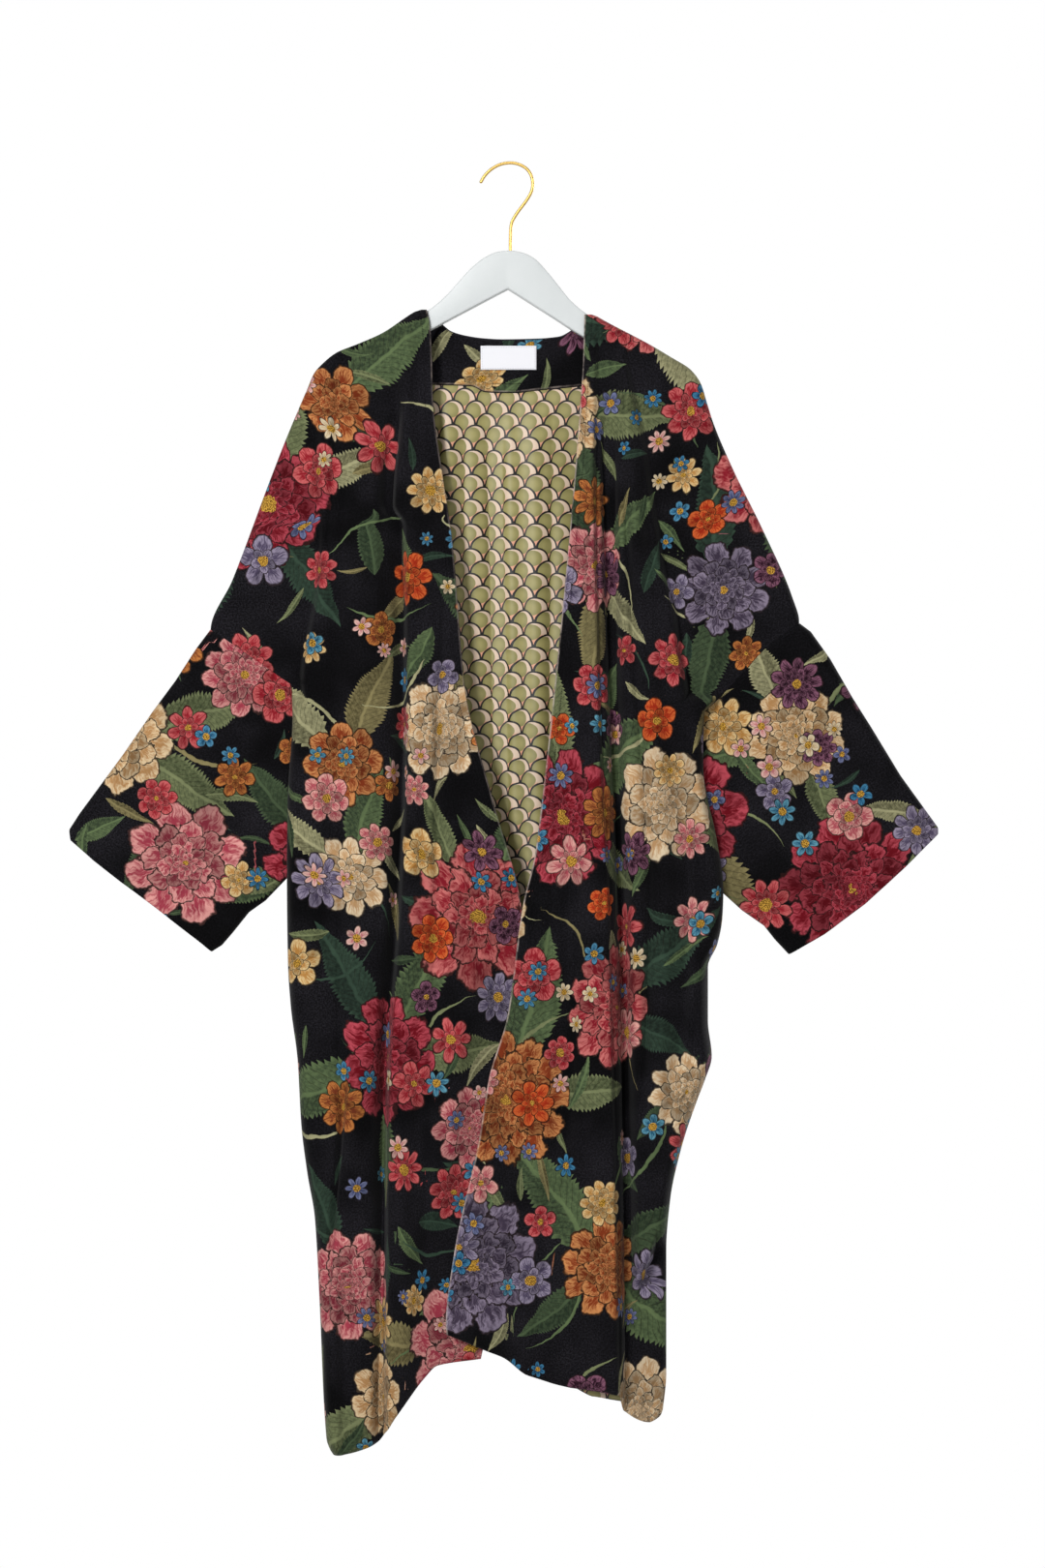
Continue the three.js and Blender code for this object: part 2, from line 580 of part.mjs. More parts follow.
// Lower sleeve as rings from the seam to the cuff: the front from the upper edge to the lower one,
// then the back. Points inside the four edge lines come from blending opposite edges.
function sleeveGrid(lines, cornerAt, sign) {
  const corner = (line, end) => onLine(line, end);
  const bend = lineFraction(lines.seam, cornerAt);
  const places = [...sleeveRim.slice(0, -1)];
  const rim = sleeveRim[sleeveRim.length - 1];
  for (let k = 0; k < sleeveSeamColumns; k += 1) places.push(lerp(rim, bend, k / sleeveSeamColumns));
  for (let k = 0; k < sleeveLowColumns; k += 1) places.push(lerp(bend, 1 - rim, k / sleeveLowColumns));
  places.push(...sleeveRim.map((place) => 1 - place).reverse());
  const around = [...places.map((r) => [r, -1]), ...places.slice(1, -1).reverse().map((r) => [r, 1])];
  const rings = [];
  for (let i = 0; i < sleeveRings; i += 1) {
    const s = i / (sleeveRings - 1);
    const at = (r) => [0, 1].map((n) => {
      const edges = lerp(onLine(lines.upper, s)[n], onLine(lines.lower, s)[n], r);
      const ends = lerp(onLine(lines.seam, r)[n], onLine(lines.cuff, r)[n], s);
      const corners = lerp(lerp(corner(lines.upper, 0)[n], corner(lines.lower, 0)[n], r),
        lerp(corner(lines.upper, 1)[n], corner(lines.lower, 1)[n], r), s);
      return edges + ends - corners;
    });
    const height = Math.hypot(at(0)[0] - at(1)[0], at(0)[1] - at(1)[1]);
    const ring = around.map(([r, face]) => {
      const inward = clamp((Math.min(r, 1 - r) * height) / sleeveTurn, 0, 1);
      const round = Math.sqrt(inward * (2 - inward));
      const fold = sleeveFolds.reduce((sum, f) =>
        sum + f.rise * Math.cos((clamp((r - f.at) / f.width, -1, 1) * Math.PI) / 2), 0);
      const folded = fold * smoothstep(s / 0.3) * (face < 0 ? 1 : 0.5);
      const depth = round * (lerp(sleeveDepth, cuffDepth, s) + folded);
      const [across, down] = at(r);
      const away = 1 - s;
      return new THREE.Vector3(across + sign * sleeveShift.across * away, face * depth,
        -down - sleeveShift.down * away);
    });
    rings.push(ring);
  }
  return rings;
}

// Grid on the inside of the back between an upper and a lower line
function insideBack(columns, rows, sideAt, topAt, lowAt) {
  return Array.from({ length: rows + 1 }, (_, i) => Array.from({ length: columns + 1 }, (__, j) => {
    const v = i / rows;
    const across = lerp(sideAt(v, 0), sideAt(v, 1), j / columns);
    const down = lerp(topAt(across), lowAt(across), v);
    return new THREE.Vector3(across, backRise(across, down), -down);
  }));
}

const neckAt = (across) => along(neckline, "across", across, "down");
const facingLowAt = (across) => along(facingLow, "across", across, "down");

function facingGrid() {
  const sideAt = (v, end) => (end === 0
    ? lerp(facingSides.topLeft, facingSides.lowLeft, v)
    : lerp(facingSides.topRight, facingSides.lowRight, v));
  return insideBack(14, 4, sideAt, (across) => neckAt(across) + facingTop, facingLowAt);
}

function liningGrid() {
  const sideAt = (v, end) => (end === 0 ? liningSides.left : liningSides.right);
  return insideBack(liningColumns, 20, sideAt, (across) => facingLowAt(across) + liningBelowFacing,
    (across) => along(backHem, "across", across, "down") - liningAboveHem);
}

function labelGrid() {
  const sideAt = (v, end) => labelMiddle + (end - 0.5) * labelWidth;
  return insideBack(6, 2, sideAt, () => labelTop, () => labelTop + labelHeight);
}

// Flat board of the hanger, its edges rounded by a bevel
function hangerGeometry() {
  const clothAt = (outline, across) => along(outline, "across", across, "down") + hangerUnderCloth;
  const rightShoulder = rightOutline.slice(0, 8);
  const leftShoulder = leftOutline.slice(0, 8).reverse();
  const rightTop = hangerTopPlaces.map((x) => [x, clothAt(rightShoulder, x)]);
  const leftTop = hangerTopPlaces.map((x) => [-x, clothAt(leftShoulder, -x)]);
  const outline = [...hangerUpperRight, ...rightTop, ...hangerTipRight, ...[...hangerUnderRight].reverse(),
    ...[...hangerUnderLeft].reverse(), ...hangerTipLeft, ...leftTop.reverse(), ...hangerUpperLeft];
  const shape = new THREE.Shape(outline.map(([x, down]) => new THREE.Vector2(x, -down)));
  const geometry = new THREE.ExtrudeGeometry(shape, {
    depth: hangerThick - 2 * hangerBevel, bevelThickness: hangerBevel, bevelSize: hangerBevel,
    bevelOffset: -hangerBevel, bevelSegments: 2,
  });
  geometry.translate(0, 0, -(hangerThick - 2 * hangerBevel) / 2);
  return geometry.rotateX(Math.PI / 2);
}

// Wire of the hook: a straight stem, a swan neck and most of a circle
function hookGeometry() {
  const points = hookLine.map(([across, down]) => new THREE.Vector3(across, 0, -down));
  const wire = new THREE.Shape();
  wire.absarc(0, 0, wireRadius, 0, 2 * Math.PI, false);
  return new THREE.ExtrudeGeometry(wire, {
    extrudePath: new THREE.CatmullRomCurve3(points), steps: wireSteps, curveSegments: wireSides / 2,
  });
}

const leftRidge = leftFolds[0].line.map(([down, across]) => ({ down, across }));
const rightRidge = rightFolds[0].line.map(([down, across]) => ({ down, across }));

const leftSide = {
  sign: -1, outerMarks: leftMarks, innerMarks: leftInnerMarks, hemOuter: -183, hem: leftHem, seam: leftSeam,
  opening: leftOpening, outline: leftOutline, depth: leftDepth, columns: [4, 2, 5, 2, 5],
  guides: [
    (down) => along(leftRidge, "down", down, "across"),
    (down) => along(leftRidge, "down", down, "across") - 10,
    (down) => along(leftBodyEdge, "down", down, "across") + bodyEdgeWidth,
    (down) => along(leftBodyEdge, "down", down, "across"),
  ],
};
const rightSide = {
  sign: 1, outerMarks: rightMarks, innerMarks: rightInnerMarks, hemOuter: 157, hem: rightHem, seam: rightSeam,
  opening: rightOpening, outline: rightOutline, depth: rightDepth, columns: [5, 2, 2, 4, 2, 4],
  guides: [
    (down) => along(rightRidge, "down", down, "across"),
    (down) => along(rightRidge, "down", down, "across") + 6,
    (down) => along(rightRidge, "down", down, "across") + 26,
    (down) => along(rightBodyEdge, "down", down, "across") - bodyEdgeWidth,
    (down) => along(rightBodyEdge, "down", down, "across"),
  ],
};

const colours = {
  velvet: 0x1d1c22, lining: 0x8d9655, label: 0xf4f4f2, wood: 0xe9edf0, wire: 0xd9b45a,
};

function finish(colour, roughness, metalness = 0) {
  return new THREE.MeshStandardMaterial({ color: colour, roughness, metalness });
}

const kimono = new THREE.Group();

function add(name, geometry, material) {
  const mesh = new THREE.Mesh(geometry, material);
  mesh.name = name;
  kimono.add(mesh);
}

const velvet = finish(colours.velvet, 0.95);
const half = velvetWall / 2;
const facingNear = half + layerGap;
const liningNear = facingNear + liningHangs;
const labelNear = facingNear + facingWall + layerGap;

const seam = seamGap / 2;

add("front_left", clothWall(frontGrid(leftSide), -half, half, false, -Infinity, -seam), velvet);
add("front_right", clothWall(frontGrid(rightSide), -half, half, false, -Infinity, -seam), velvet);
add("back", clothWall(backGrid(), -half, half, false, seam), velvet);
add("sleeve_left", clothWall(sleeveGrid(leftSleeveLines, 2, -1), -half, half, true), velvet);
add("sleeve_right", clothWall(sleeveGrid(rightSleeveLines, 4, 1), -half, half, true), velvet);
add("neck_facing", clothWall(facingGrid(), -facingNear - facingWall, -facingNear), velvet);
add("lining", clothWall(liningGrid(), -liningNear - liningWall, -liningNear), finish(colours.lining, 0.8));
add("label", clothWall(labelGrid(), -labelNear - labelWall, -labelNear), finish(colours.label, 0.7));
add("hanger", hangerGeometry(), finish(colours.wood, 0.45));
add("hook", hookGeometry(), finish(colours.wire, 0.3, 1));

export default kimono;
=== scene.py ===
"""Printed velvet kimono hanging open on a flat wooden hanger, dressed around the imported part.

Places are in millimetres from the hook's crown: "down" is below it, "across" is to the right as
seen from the front, and "depth" is the distance from the hanger's middle plane. Every mesh is
brought to metres when it is made.
"""

import math

import bmesh
import bpy
import numpy as np
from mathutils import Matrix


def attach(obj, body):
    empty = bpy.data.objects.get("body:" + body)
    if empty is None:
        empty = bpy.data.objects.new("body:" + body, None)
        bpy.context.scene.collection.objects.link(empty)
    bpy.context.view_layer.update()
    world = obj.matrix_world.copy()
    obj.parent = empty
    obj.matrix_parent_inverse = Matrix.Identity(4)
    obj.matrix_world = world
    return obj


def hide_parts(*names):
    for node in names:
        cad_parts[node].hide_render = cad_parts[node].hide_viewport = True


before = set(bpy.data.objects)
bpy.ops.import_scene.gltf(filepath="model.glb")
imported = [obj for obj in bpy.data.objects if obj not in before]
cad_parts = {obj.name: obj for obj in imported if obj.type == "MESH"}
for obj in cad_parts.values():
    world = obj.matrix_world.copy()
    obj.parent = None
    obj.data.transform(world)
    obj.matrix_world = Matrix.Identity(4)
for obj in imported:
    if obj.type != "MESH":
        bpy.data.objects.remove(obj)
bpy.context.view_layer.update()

MM = 0.001


def table(columns, rows):
    """Short table with named columns: one array for each column."""
    values = np.array(rows, float)
    return {name: values[:, i] for i, name in enumerate(columns)}


# Outer line of the garment: shoulder, arm, seam of the sleeve, side
LEFT_OUTLINE = table(("down", "across"), [
    (149, -86), (151.5, -93.5), (156, -102), (160, -108), (176, -132), (188, -159), (196, -179),
    (206, -192), (217, -202), (233, -209), (285, -231), (326, -247), (432, -287), (482, -309),
    (483, -307.5), (508, -271), (538, -227.5), (539, -226), (572, -224), (657, -229), (737, -230),
    (825, -229), (872, -226), (927, -219), (996, -215), (1044, -209), (1092, -201), (1182, -196),
    (1320, -189), (1336, -183)])
RIGHT_OUTLINE = table(("down", "across"), [
    (154, 82), (165, 101), (178, 126), (187, 143), (200, 165), (214, 187), (228, 197), (247, 203),
    (269, 210), (316, 230), (379, 261), (447, 291), (476, 299), (477, 297.6), (499, 267),
    (527, 241), (550, 219), (566, 201.1), (567, 200), (624, 199), (659, 204), (694, 212),
    (753, 220), (780, 219), (807, 214), (831, 204), (887, 204), (924, 208), (948, 201), (969, 193),
    (1017, 177), (1072, 165), (1122, 161), (1252, 161), (1293, 157)])

# Front edges of the opening, neckline and hems
LEFT_OPENING = table(("down", "across"), [
    (149, -87), (151.5, -86), (169, -82.5), (203, -80.5), (244, -79.5), (326, -69), (395, -59),
    (505, -50), (546, -46), (660, -17), (769, 12), (900, 22), (1050, 10), (1236, -30)])
RIGHT_OPENING = table(("down", "across"), [
    (154, 77), (195, 76), (272, 71), (368, 63), (464, 54), (560, 44), (659, 33), (713, 26),
    (769, 13), (882, -3), (942, -21), (1014, -33), (1122, -57), (1200, -66), (1209, -65)])
NECKLINE = table(("across", "down"), [
    (-93.5, 151.5), (-78, 157.5), (-69.5, 165), (-61, 171.5), (-46, 176), (-27, 178.8), (-8, 179.8),
    (29, 179), (50.5, 177), (63, 171), (73, 162), (86.3, 156.5)])
LEFT_HEM = table(("across", "down"), [
    (-183, 1336), (-138, 1323), (-117, 1293), (-87, 1254), (-75, 1243), (-30, 1236)])
RIGHT_HEM = table(("across", "down"), [
    (-65, 1209), (-30, 1223), (-6, 1233), (18, 1251), (60, 1263), (112, 1271), (118, 1290),
    (144, 1302), (157, 1293)])
BACK_HEM = table(("across", "down"), [
    (-183, 1336), (-138, 1316), (-100, 1262), (-60, 1228), (-20, 1222), (20, 1246), (63, 1268),
    (88, 1280), (118, 1284), (157, 1293)])

# How far the cloth stands from the middle plane
ARM_DEPTH = table(("down", "depth"), [(154, 8.6), (300, 9), (480, 8.6)])
LEFT_DEPTH = table(("down", "depth"), [
    (154, 8.6), (215, 10), (330, 19), (540, 25), (740, 27), (1000, 25), (1336, 22)])
RIGHT_DEPTH = table(("down", "depth"), [
    (154, 8.6), (215, 10), (330, 20), (540, 27), (740, 31), (1000, 29), (1300, 26)])
BACK_DEPTH = table(("down", "depth"), [(154, 11.6), (240, 12), (500, 14), (1336, 15)])
LEAST_DEPTH = 8.4

# Lines where the body's cloth falls forward over the arm, and lower down the last side fold
LEFT_BODY_EDGE = table(("down", "across"), [
    (200, -186), (285, -201), (395, -199), (436, -202), (477, -209), (532, -218), (600, -206),
    (760, -176), (900, -158), (1077, -173), (1336, -176)])
RIGHT_BODY_EDGE = table(("down", "across"), [
    (200, 122), (291, 143), (332, 148), (381, 156), (422, 162), (464, 173), (505, 178), (552, 186),
    (640, 176), (900, 180), (1041, 176), (1086, 164), (1131, 149), (1170, 134), (1206, 128),
    (1300, 123)])
BODY_EDGE_WIDTH = 9
ARM_ENDS = 545
ARM_FADE = 16

# The left front slips under the right one below the crossing of the fronts
CROSSING_DOWN = 700
CROSSING_FADE = 90
UNDER_DEPTH = 12
UNDER_REACH = 46
UNDER_FADE = 36

# The right front's side falls back to a strip behind its last fold
RIGHT_STRIP = table(("down", "across"), [
    (1020, 176), (1041, 167), (1086, 155), (1131, 140), (1170, 125), (1206, 119), (1300, 114)])
STRIP_DEPTH = 8.6
STRIP_FROM = 1015
STRIP_FADE = 40
STRIP_WIDTH = 8

# Rounded turn from the front to the back, and the heights of the sleeve seams and underarms
TURN_WIDTH = table(("down", "width"), [
    (154, 7), (215, 8), (470, 8), (484, 1), (530, 1), (560, 8), (800, 12), (1336, 10)])
LEFT_SEAM = {"top": 482, "low": 737}
RIGHT_SEAM = {"top": 476, "low": 753}
LEFT_MARKS = [151.5, 240, 482, 539, 1336]
RIGHT_MARKS = [156.5, 240, 476, 567, 1293]
LEFT_INNER_MARKS = [151.5, 236, 470, 545, 1236]
RIGHT_INNER_MARKS = [156.5, 236, 470, 560, 1209]
SEAM_HALF = 0.15

# The armhole starts above the seam's top, and the turn opens and closes again over two heights
ARMHOLE_ABOVE = 8
ARMHOLE_OPENS, ARMHOLE_CLOSES = 12, 16

# Shares of the way down: where the hem's line takes hold, how far it takes to do so, and where the
# back's neckline has faded out
HEM_FROM, HEM_OVER = 0.55, 0.45
NECK_FADE = 0.12

# Extra columns beside the opening, by their distance from it, and how many times closer than even
# the others may come
RIM_COLUMNS = np.array([0.3, 0.9, 1.9])
CROWDING = 2.5

# Thickness of the cloth, and the share of it that is left at the very rim
VELVET_WALL = 2.3
LINING_WALL = 1.3
FACING_WALL = 1.9
RIM_SHARE = 0.12


def along(rows, key, column, place):
    """Value of a column at given places: cubic pieces between the rows, with harmonic-mean slopes,
    so that the curve is smooth and never overshoots a row."""
    x, y = rows[key], rows[column]
    place = np.clip(np.asarray(place, float), x[0], x[-1])
    step = np.diff(x)
    slope = np.diff(y) / step
    tangent = np.zeros_like(y)
    tangent[0], tangent[-1] = slope[0], slope[-1]
    same = slope[:-1] * slope[1:] > 0
    total = np.where(same, slope[:-1] + slope[1:], 1)
    tangent[1:-1] = np.where(same, 2 * slope[:-1] * slope[1:] / total, 0)
    i = np.clip(np.searchsorted(x, place, side="right") - 1, 0, len(x) - 2)
    t = (place - x[i]) / step[i]
    ease = t * t * (3 - 2 * t)
    bend = step[i] * (t * (1 - t) ** 2 * tangent[i] - t * t * (1 - t) * tangent[i + 1])
    return y[i] * (1 - ease) + y[i + 1] * ease + bend


def lerp(a, b, t):
    """Value that lies a share t of the way from a to b."""
    return a + (b - a) * t


def smoothstep(t):
    """Smooth rise from 0 to 1: three times the square less twice the cube, level outside."""
    s = np.clip(t, 0, 1)
    return s * s * (3 - 2 * s)


# Folds: heights a fold runs between, its rise, the width of its left and right flanks, and the
# line it follows as (down, across) pairs. A trough has a negative rise. One that ends below
# RUNS_TO_HEM doesn't fade out.
FADE = 90
RUNS_TO_HEM = 1200


def fold(top, low, rise, left, right, line, fade=FADE):
    """One fold, its line as a short table."""
    return {"top": top, "low": low, "rise": rise, "left": left, "right": right, "fade": fade,
            "line": table(("down", "across"), line)}


LEFT_FOLDS = [
    fold(215, 1300, 9, 9, 40, [(215, -100), (299, -109), (354, -113), (376, -101), (592, -100),
                               (760, -106), (972, -119), (1257, -121)]),
    fold(230, 1240, -5, 22, 8, [(230, -112), (354, -124), (592, -112), (972, -131), (1240, -134)]),
    fold(300, 1180, 5, 22, 26, [(300, -150), (560, -148), (800, -156), (1180, -150)]),
    fold(380, 900, -4, 14, 16, [(380, -176), (620, -182), (900, -196)]),
    fold(480, 1130, 5, 14, 18, [(480, -66), (700, -62), (900, -52), (1130, -66)]),
    fold(880, 1336, 6, 24, 20, [(880, -156), (972, -164), (1077, -173), (1182, -180), (1336, -176)]),
]
LEFT_ARM_FOLDS = [
    fold(225, 440, 5, 8, 7, [(225, -184), (299, -189), (354, -196), (440, -206)]),
    fold(300, 482, 3, 18, 22, [(300, -216), (482, -262)]),
]
RIGHT_FOLDS = [
    fold(240, 1300, 9, 44, 5, [(240, 84), (326, 84), (491, 87), (646, 92), (753, 98), (972, 103),
                               (1092, 106), (1300, 109)]),
    fold(240, 1240, -8, 8, 18, [(240, 97), (409, 99), (646, 105), (833, 112), (1092, 117), (1240, 120)]),
    fold(520, 1209, -5, 16, 22, [(520, 66), (753, 62), (972, 50), (1209, 30)]),
    fold(700, 1209, 4, 16, 20, [(700, 40), (972, 8), (1209, -22)]),
    fold(330, 1060, 6, 16, 15, [(330, 126), (560, 146), (760, 160), (1060, 144)]),
    fold(600, 1000, -5, 12, 14, [(600, 170), (753, 184), (1000, 168)]),
]
RIGHT_ARM_FOLDS = [
    fold(290, 520, -3, 10, 16, [(290, 160), (470, 190), (520, 196)]),
    fold(240, 476, 4, 18, 22, [(240, 176), (476, 250)]),
]
BACK_FOLDS = [
    fold(260, 1330, 4, 30, 22, [(260, -128), (700, -136), (1330, -140)]),
    fold(230, 1260, -4, 20, 16, [(230, -62), (600, -66), (1260, -80)]),
    fold(215, 1230, 4, 18, 24, [(215, -24), (600, -20), (1230, -36)]),
    fold(215, 1250, -4, 18, 14, [(215, 22), (600, 26), (1250, 18)]),
    fold(230, 1270, 4, 20, 26, [(230, 62), (700, 72), (1270, 70)]),
    fold(300, 1290, -3, 22, 24, [(300, 116), (700, 124), (1290, 122)]),
]
# Finer creases, which only the cloth here has
LEFT_CREASES = [
    fold(240, 1290, -13, 15, 7, [(240, -113), (354, -123), (376, -112), (592, -110), (760, -116),
                                 (972, -129), (1257, -131)], 60),
    fold(420, 1180, -3.5, 6, 8, [(420, -66), (592, -74), (820, -78), (1180, -92)], 90),
    fold(640, 1240, 3.5, 7, 5, [(640, -58), (900, -36), (1240, -58)], 90),
    fold(560, 1300, -3, 7, 9, [(560, -170), (900, -176), (1300, -172)], 90),
    fold(420, 800, 1.6, 6, 9, [(420, -84), (800, -80)], 60),
    fold(600, 1100, -1.4, 7, 6, [(600, -88), (1100, -98)], 80),
    fold(230, 520, 1.5, 8, 6, [(230, -140), (520, -134)], 60),
    fold(700, 1180, 1.8, 8, 10, [(700, -134), (1180, -104)], 80),
    fold(820, 1230, -1.6, 9, 7, [(820, -36), (1230, -50)], 80),
    fold(900, 1290, 1.5, 7, 9, [(900, -186), (1290, -160)], 80),
    fold(300, 430, -1.6, 5, 6, [(300, -168), (430, -176)], 40),
    fold(162, 330, 5, 9, 14, [(162, -104), (240, -108), (330, -104)], 36),
    fold(200, 420, -4, 7, 5, [(200, -176), (300, -181), (420, -190)], 40),
    fold(900, 1330, -7, 9, 4, [(900, -164), (972, -170), (1077, -179), (1182, -187), (1330, -190)], 80),
]
RIGHT_CREASES = [
    fold(250, 1290, -20, 9, 15, [(250, 100), (409, 103), (646, 110), (833, 117), (1092, 121),
                                 (1290, 123)], 60),
    fold(330, 980, -4.5, 7, 6, [(330, 118), (560, 132), (760, 144), (980, 138)], 80),
    fold(560, 1190, -3.5, 7, 8, [(560, 72), (753, 72), (972, 62), (1190, 44)], 90),
    fold(720, 1200, 3, 7, 6, [(720, 26), (972, -2), (1200, -36)], 90),
    fold(620, 1040, 3.5, 6, 8, [(620, 182), (800, 190), (1040, 164)], 80),
    fold(300, 640, 1.5, 8, 6, [(300, 76), (640, 74)], 60),
    fold(560, 900, -1.5, 7, 7, [(560, 56), (900, 34)], 70),
    fold(800, 1200, 1.6, 8, 10, [(800, 78), (1200, 62)], 80),
    fold(850, 1190, -1.3, 7, 9, [(850, 28), (1190, -4)], 70),
    fold(300, 560, 1.8, 7, 7, [(300, 112), (560, 118)], 60),
    fold(640, 960, 1.6, 7, 9, [(640, 132), (960, 128)], 60),
    fold(380, 700, -1.8, 6, 7, [(380, 136), (700, 152)], 60),
    fold(162, 320, 5, 10, 7, [(162, 86), (240, 85), (320, 84)], 36),
    fold(166, 420, 6.5, 9, 16, [(166, 120), (250, 121), (340, 126), (420, 132)], 36),
]
# Creases of the back, like the fronts' own in width and spacing, all standing outwards
BACK_CREASES = [
    fold(250, 1330, 6.5, 18, 6, [(250, -112), (600, -124), (960, -128), (1330, -120)], 80),
    fold(232, 1150, 4.5, 6, 15, [(232, -72), (520, -80), (1150, -94)], 70),
    fold(330, 1330, 5.5, 16, 7, [(330, -26), (700, -12), (1330, -30)], 120),
    fold(240, 900, 4, 6, 12, [(240, 44), (560, 40), (900, 32)], 70),
    fold(300, 1330, 6.5, 7, 18, [(300, 86), (620, 90), (980, 96), (1330, 90)], 90),
    fold(520, 1330, 5, 14, 6, [(520, 134), (900, 142), (1330, 134)], 110),
    fold(640, 1330, 4, 7, 14, [(640, -164), (1000, -160), (1330, -152)], 110),
]


def fold_rise(folds, across, down):
    """Sum of cosine bumps: each fold rises by half of 1 + cos(pi * distance / flank) across its
    line, and fades in and out along it."""
    total = np.zeros(np.broadcast(across, down).shape)
    for f in folds:
        offset = across - along(f["line"], "down", "across", down)
        reach = np.abs(offset) / np.where(offset < 0, f["left"], f["right"])
        fade = smoothstep((down - f["top"]) / f["fade"])
        if f["low"] < RUNS_TO_HEM:
            fade = fade * smoothstep((f["low"] - down) / f["fade"])
        bump = 0.5 * (1 + np.cos(np.pi * np.minimum(reach, 1)))
        total = total + f["rise"] * fade * bump
    return total


def left_depth(across, down):
    """Depth of the left front: the arm near the outer line, the body inside the body's edge, and a
    smooth drop where it slips under the right front."""
    arm = along(ARM_DEPTH, "down", "depth", down) + fold_rise(LEFT_ARM_FOLDS, across, down)
    body = along(LEFT_DEPTH, "down", "depth", down) + fold_rise(LEFT_FOLDS, across, down)
    body = body + fold_rise(LEFT_CREASES, across, down)
    cover = along(RIGHT_OPENING, "down", "across", down) - UNDER_REACH
    crossed = smoothstep((down - CROSSING_DOWN) / CROSSING_FADE)
    under = crossed * smoothstep((across - cover) / UNDER_FADE)
    body = lerp(body, UNDER_DEPTH, under)
    edge = along(LEFT_BODY_EDGE, "down", "across", down)
    on_body = smoothstep((across - edge) / BODY_EDGE_WIDTH)
    below_arm = smoothstep((down - ARM_ENDS) / ARM_FADE)
    return np.maximum(lerp(arm, body, np.maximum(on_body, below_arm)), LEAST_DEPTH)


def right_depth(across, down):
    """Depth of the right front: arm, body, and the strip behind its last fold near the hem."""
    arm = along(ARM_DEPTH, "down", "depth", down) + fold_rise(RIGHT_ARM_FOLDS, across, down)
    body = along(RIGHT_DEPTH, "down", "depth", down) + fold_rise(RIGHT_FOLDS, across, down)
    body = body + fold_rise(RIGHT_CREASES, across, down)
    strip_line = along(RIGHT_STRIP, "down", "across", down)
    strip = smoothstep((down - STRIP_FROM) / STRIP_FADE) * smoothstep((across - strip_line) / STRIP_WIDTH)
    body = lerp(body, STRIP_DEPTH, strip)
    edge = along(RIGHT_BODY_EDGE, "down", "across", down)
    on_body = smoothstep((edge - across) / BODY_EDGE_WIDTH)
    below_arm = smoothstep((down - ARM_ENDS) / ARM_FADE)
    return np.maximum(lerp(arm, body, np.maximum(on_body, below_arm)), LEAST_DEPTH)


def back_depth(across, down):
    """Depth of the back behind the middle plane: nearly flat, with long soft folds."""
    return along(BACK_DEPTH, "down", "depth", down) + fold_rise(BACK_FOLDS, across, down)


def shared_out(counts):
    """Places 0, 1, 2 and so on, with each stretch between them cut into its count of equal steps."""
    return np.concatenate([i + np.arange(n) / n for i, n in enumerate(counts)] + [[len(counts)]])


def stations(counts, near, far):
    """Heights of rows at a panel's two edges, evenly between marks, and their progress down it."""
    index = shared_out(counts)
    marks = np.arange(len(near))
    near_down = np.interp(index, marks, near)
    far_down = np.interp(index, marks, far)
    return near_down, far_down, (far_down - far[0]) / (far[-1] - far[0])


def guide_marks(guides, counts, width):
    """Distances of columns from a panel's inner edge for every row: the guides are pushed apart so
    that each stretch keeps a least width, and each stretch is shared out evenly."""
    least = width / (CROWDING * sum(counts))
    places = [np.zeros_like(width)]
    for i, guide in enumerate(guides):
        places.append(np.maximum(guide, places[-1] + least * counts[i]))
    places.append(width)
    for i in range(len(places) - 2, 0, -1):
        places[i] = np.minimum(places[i], places[i + 1] - least * counts[i])
    index = shared_out(counts)
    low = np.minimum(index.astype(int), len(counts) - 1)
    stacked = np.stack(places, 1)
    return lerp(stacked[:, low], stacked[:, low + 1], index - low)


def turn_end(seam, down, depth):
    """Cosine of the angle at which the side turn ends: 0 meets the other panel, more leaves the
    armhole open."""
    opens = smoothstep((down - seam["top"] + ARMHOLE_ABOVE) / ARMHOLE_OPENS)
    opened = opens * smoothstep((seam["low"] - down) / ARMHOLE_CLOSES)
    return np.clip(opened * LEAST_DEPTH / depth, 0, 0.999)


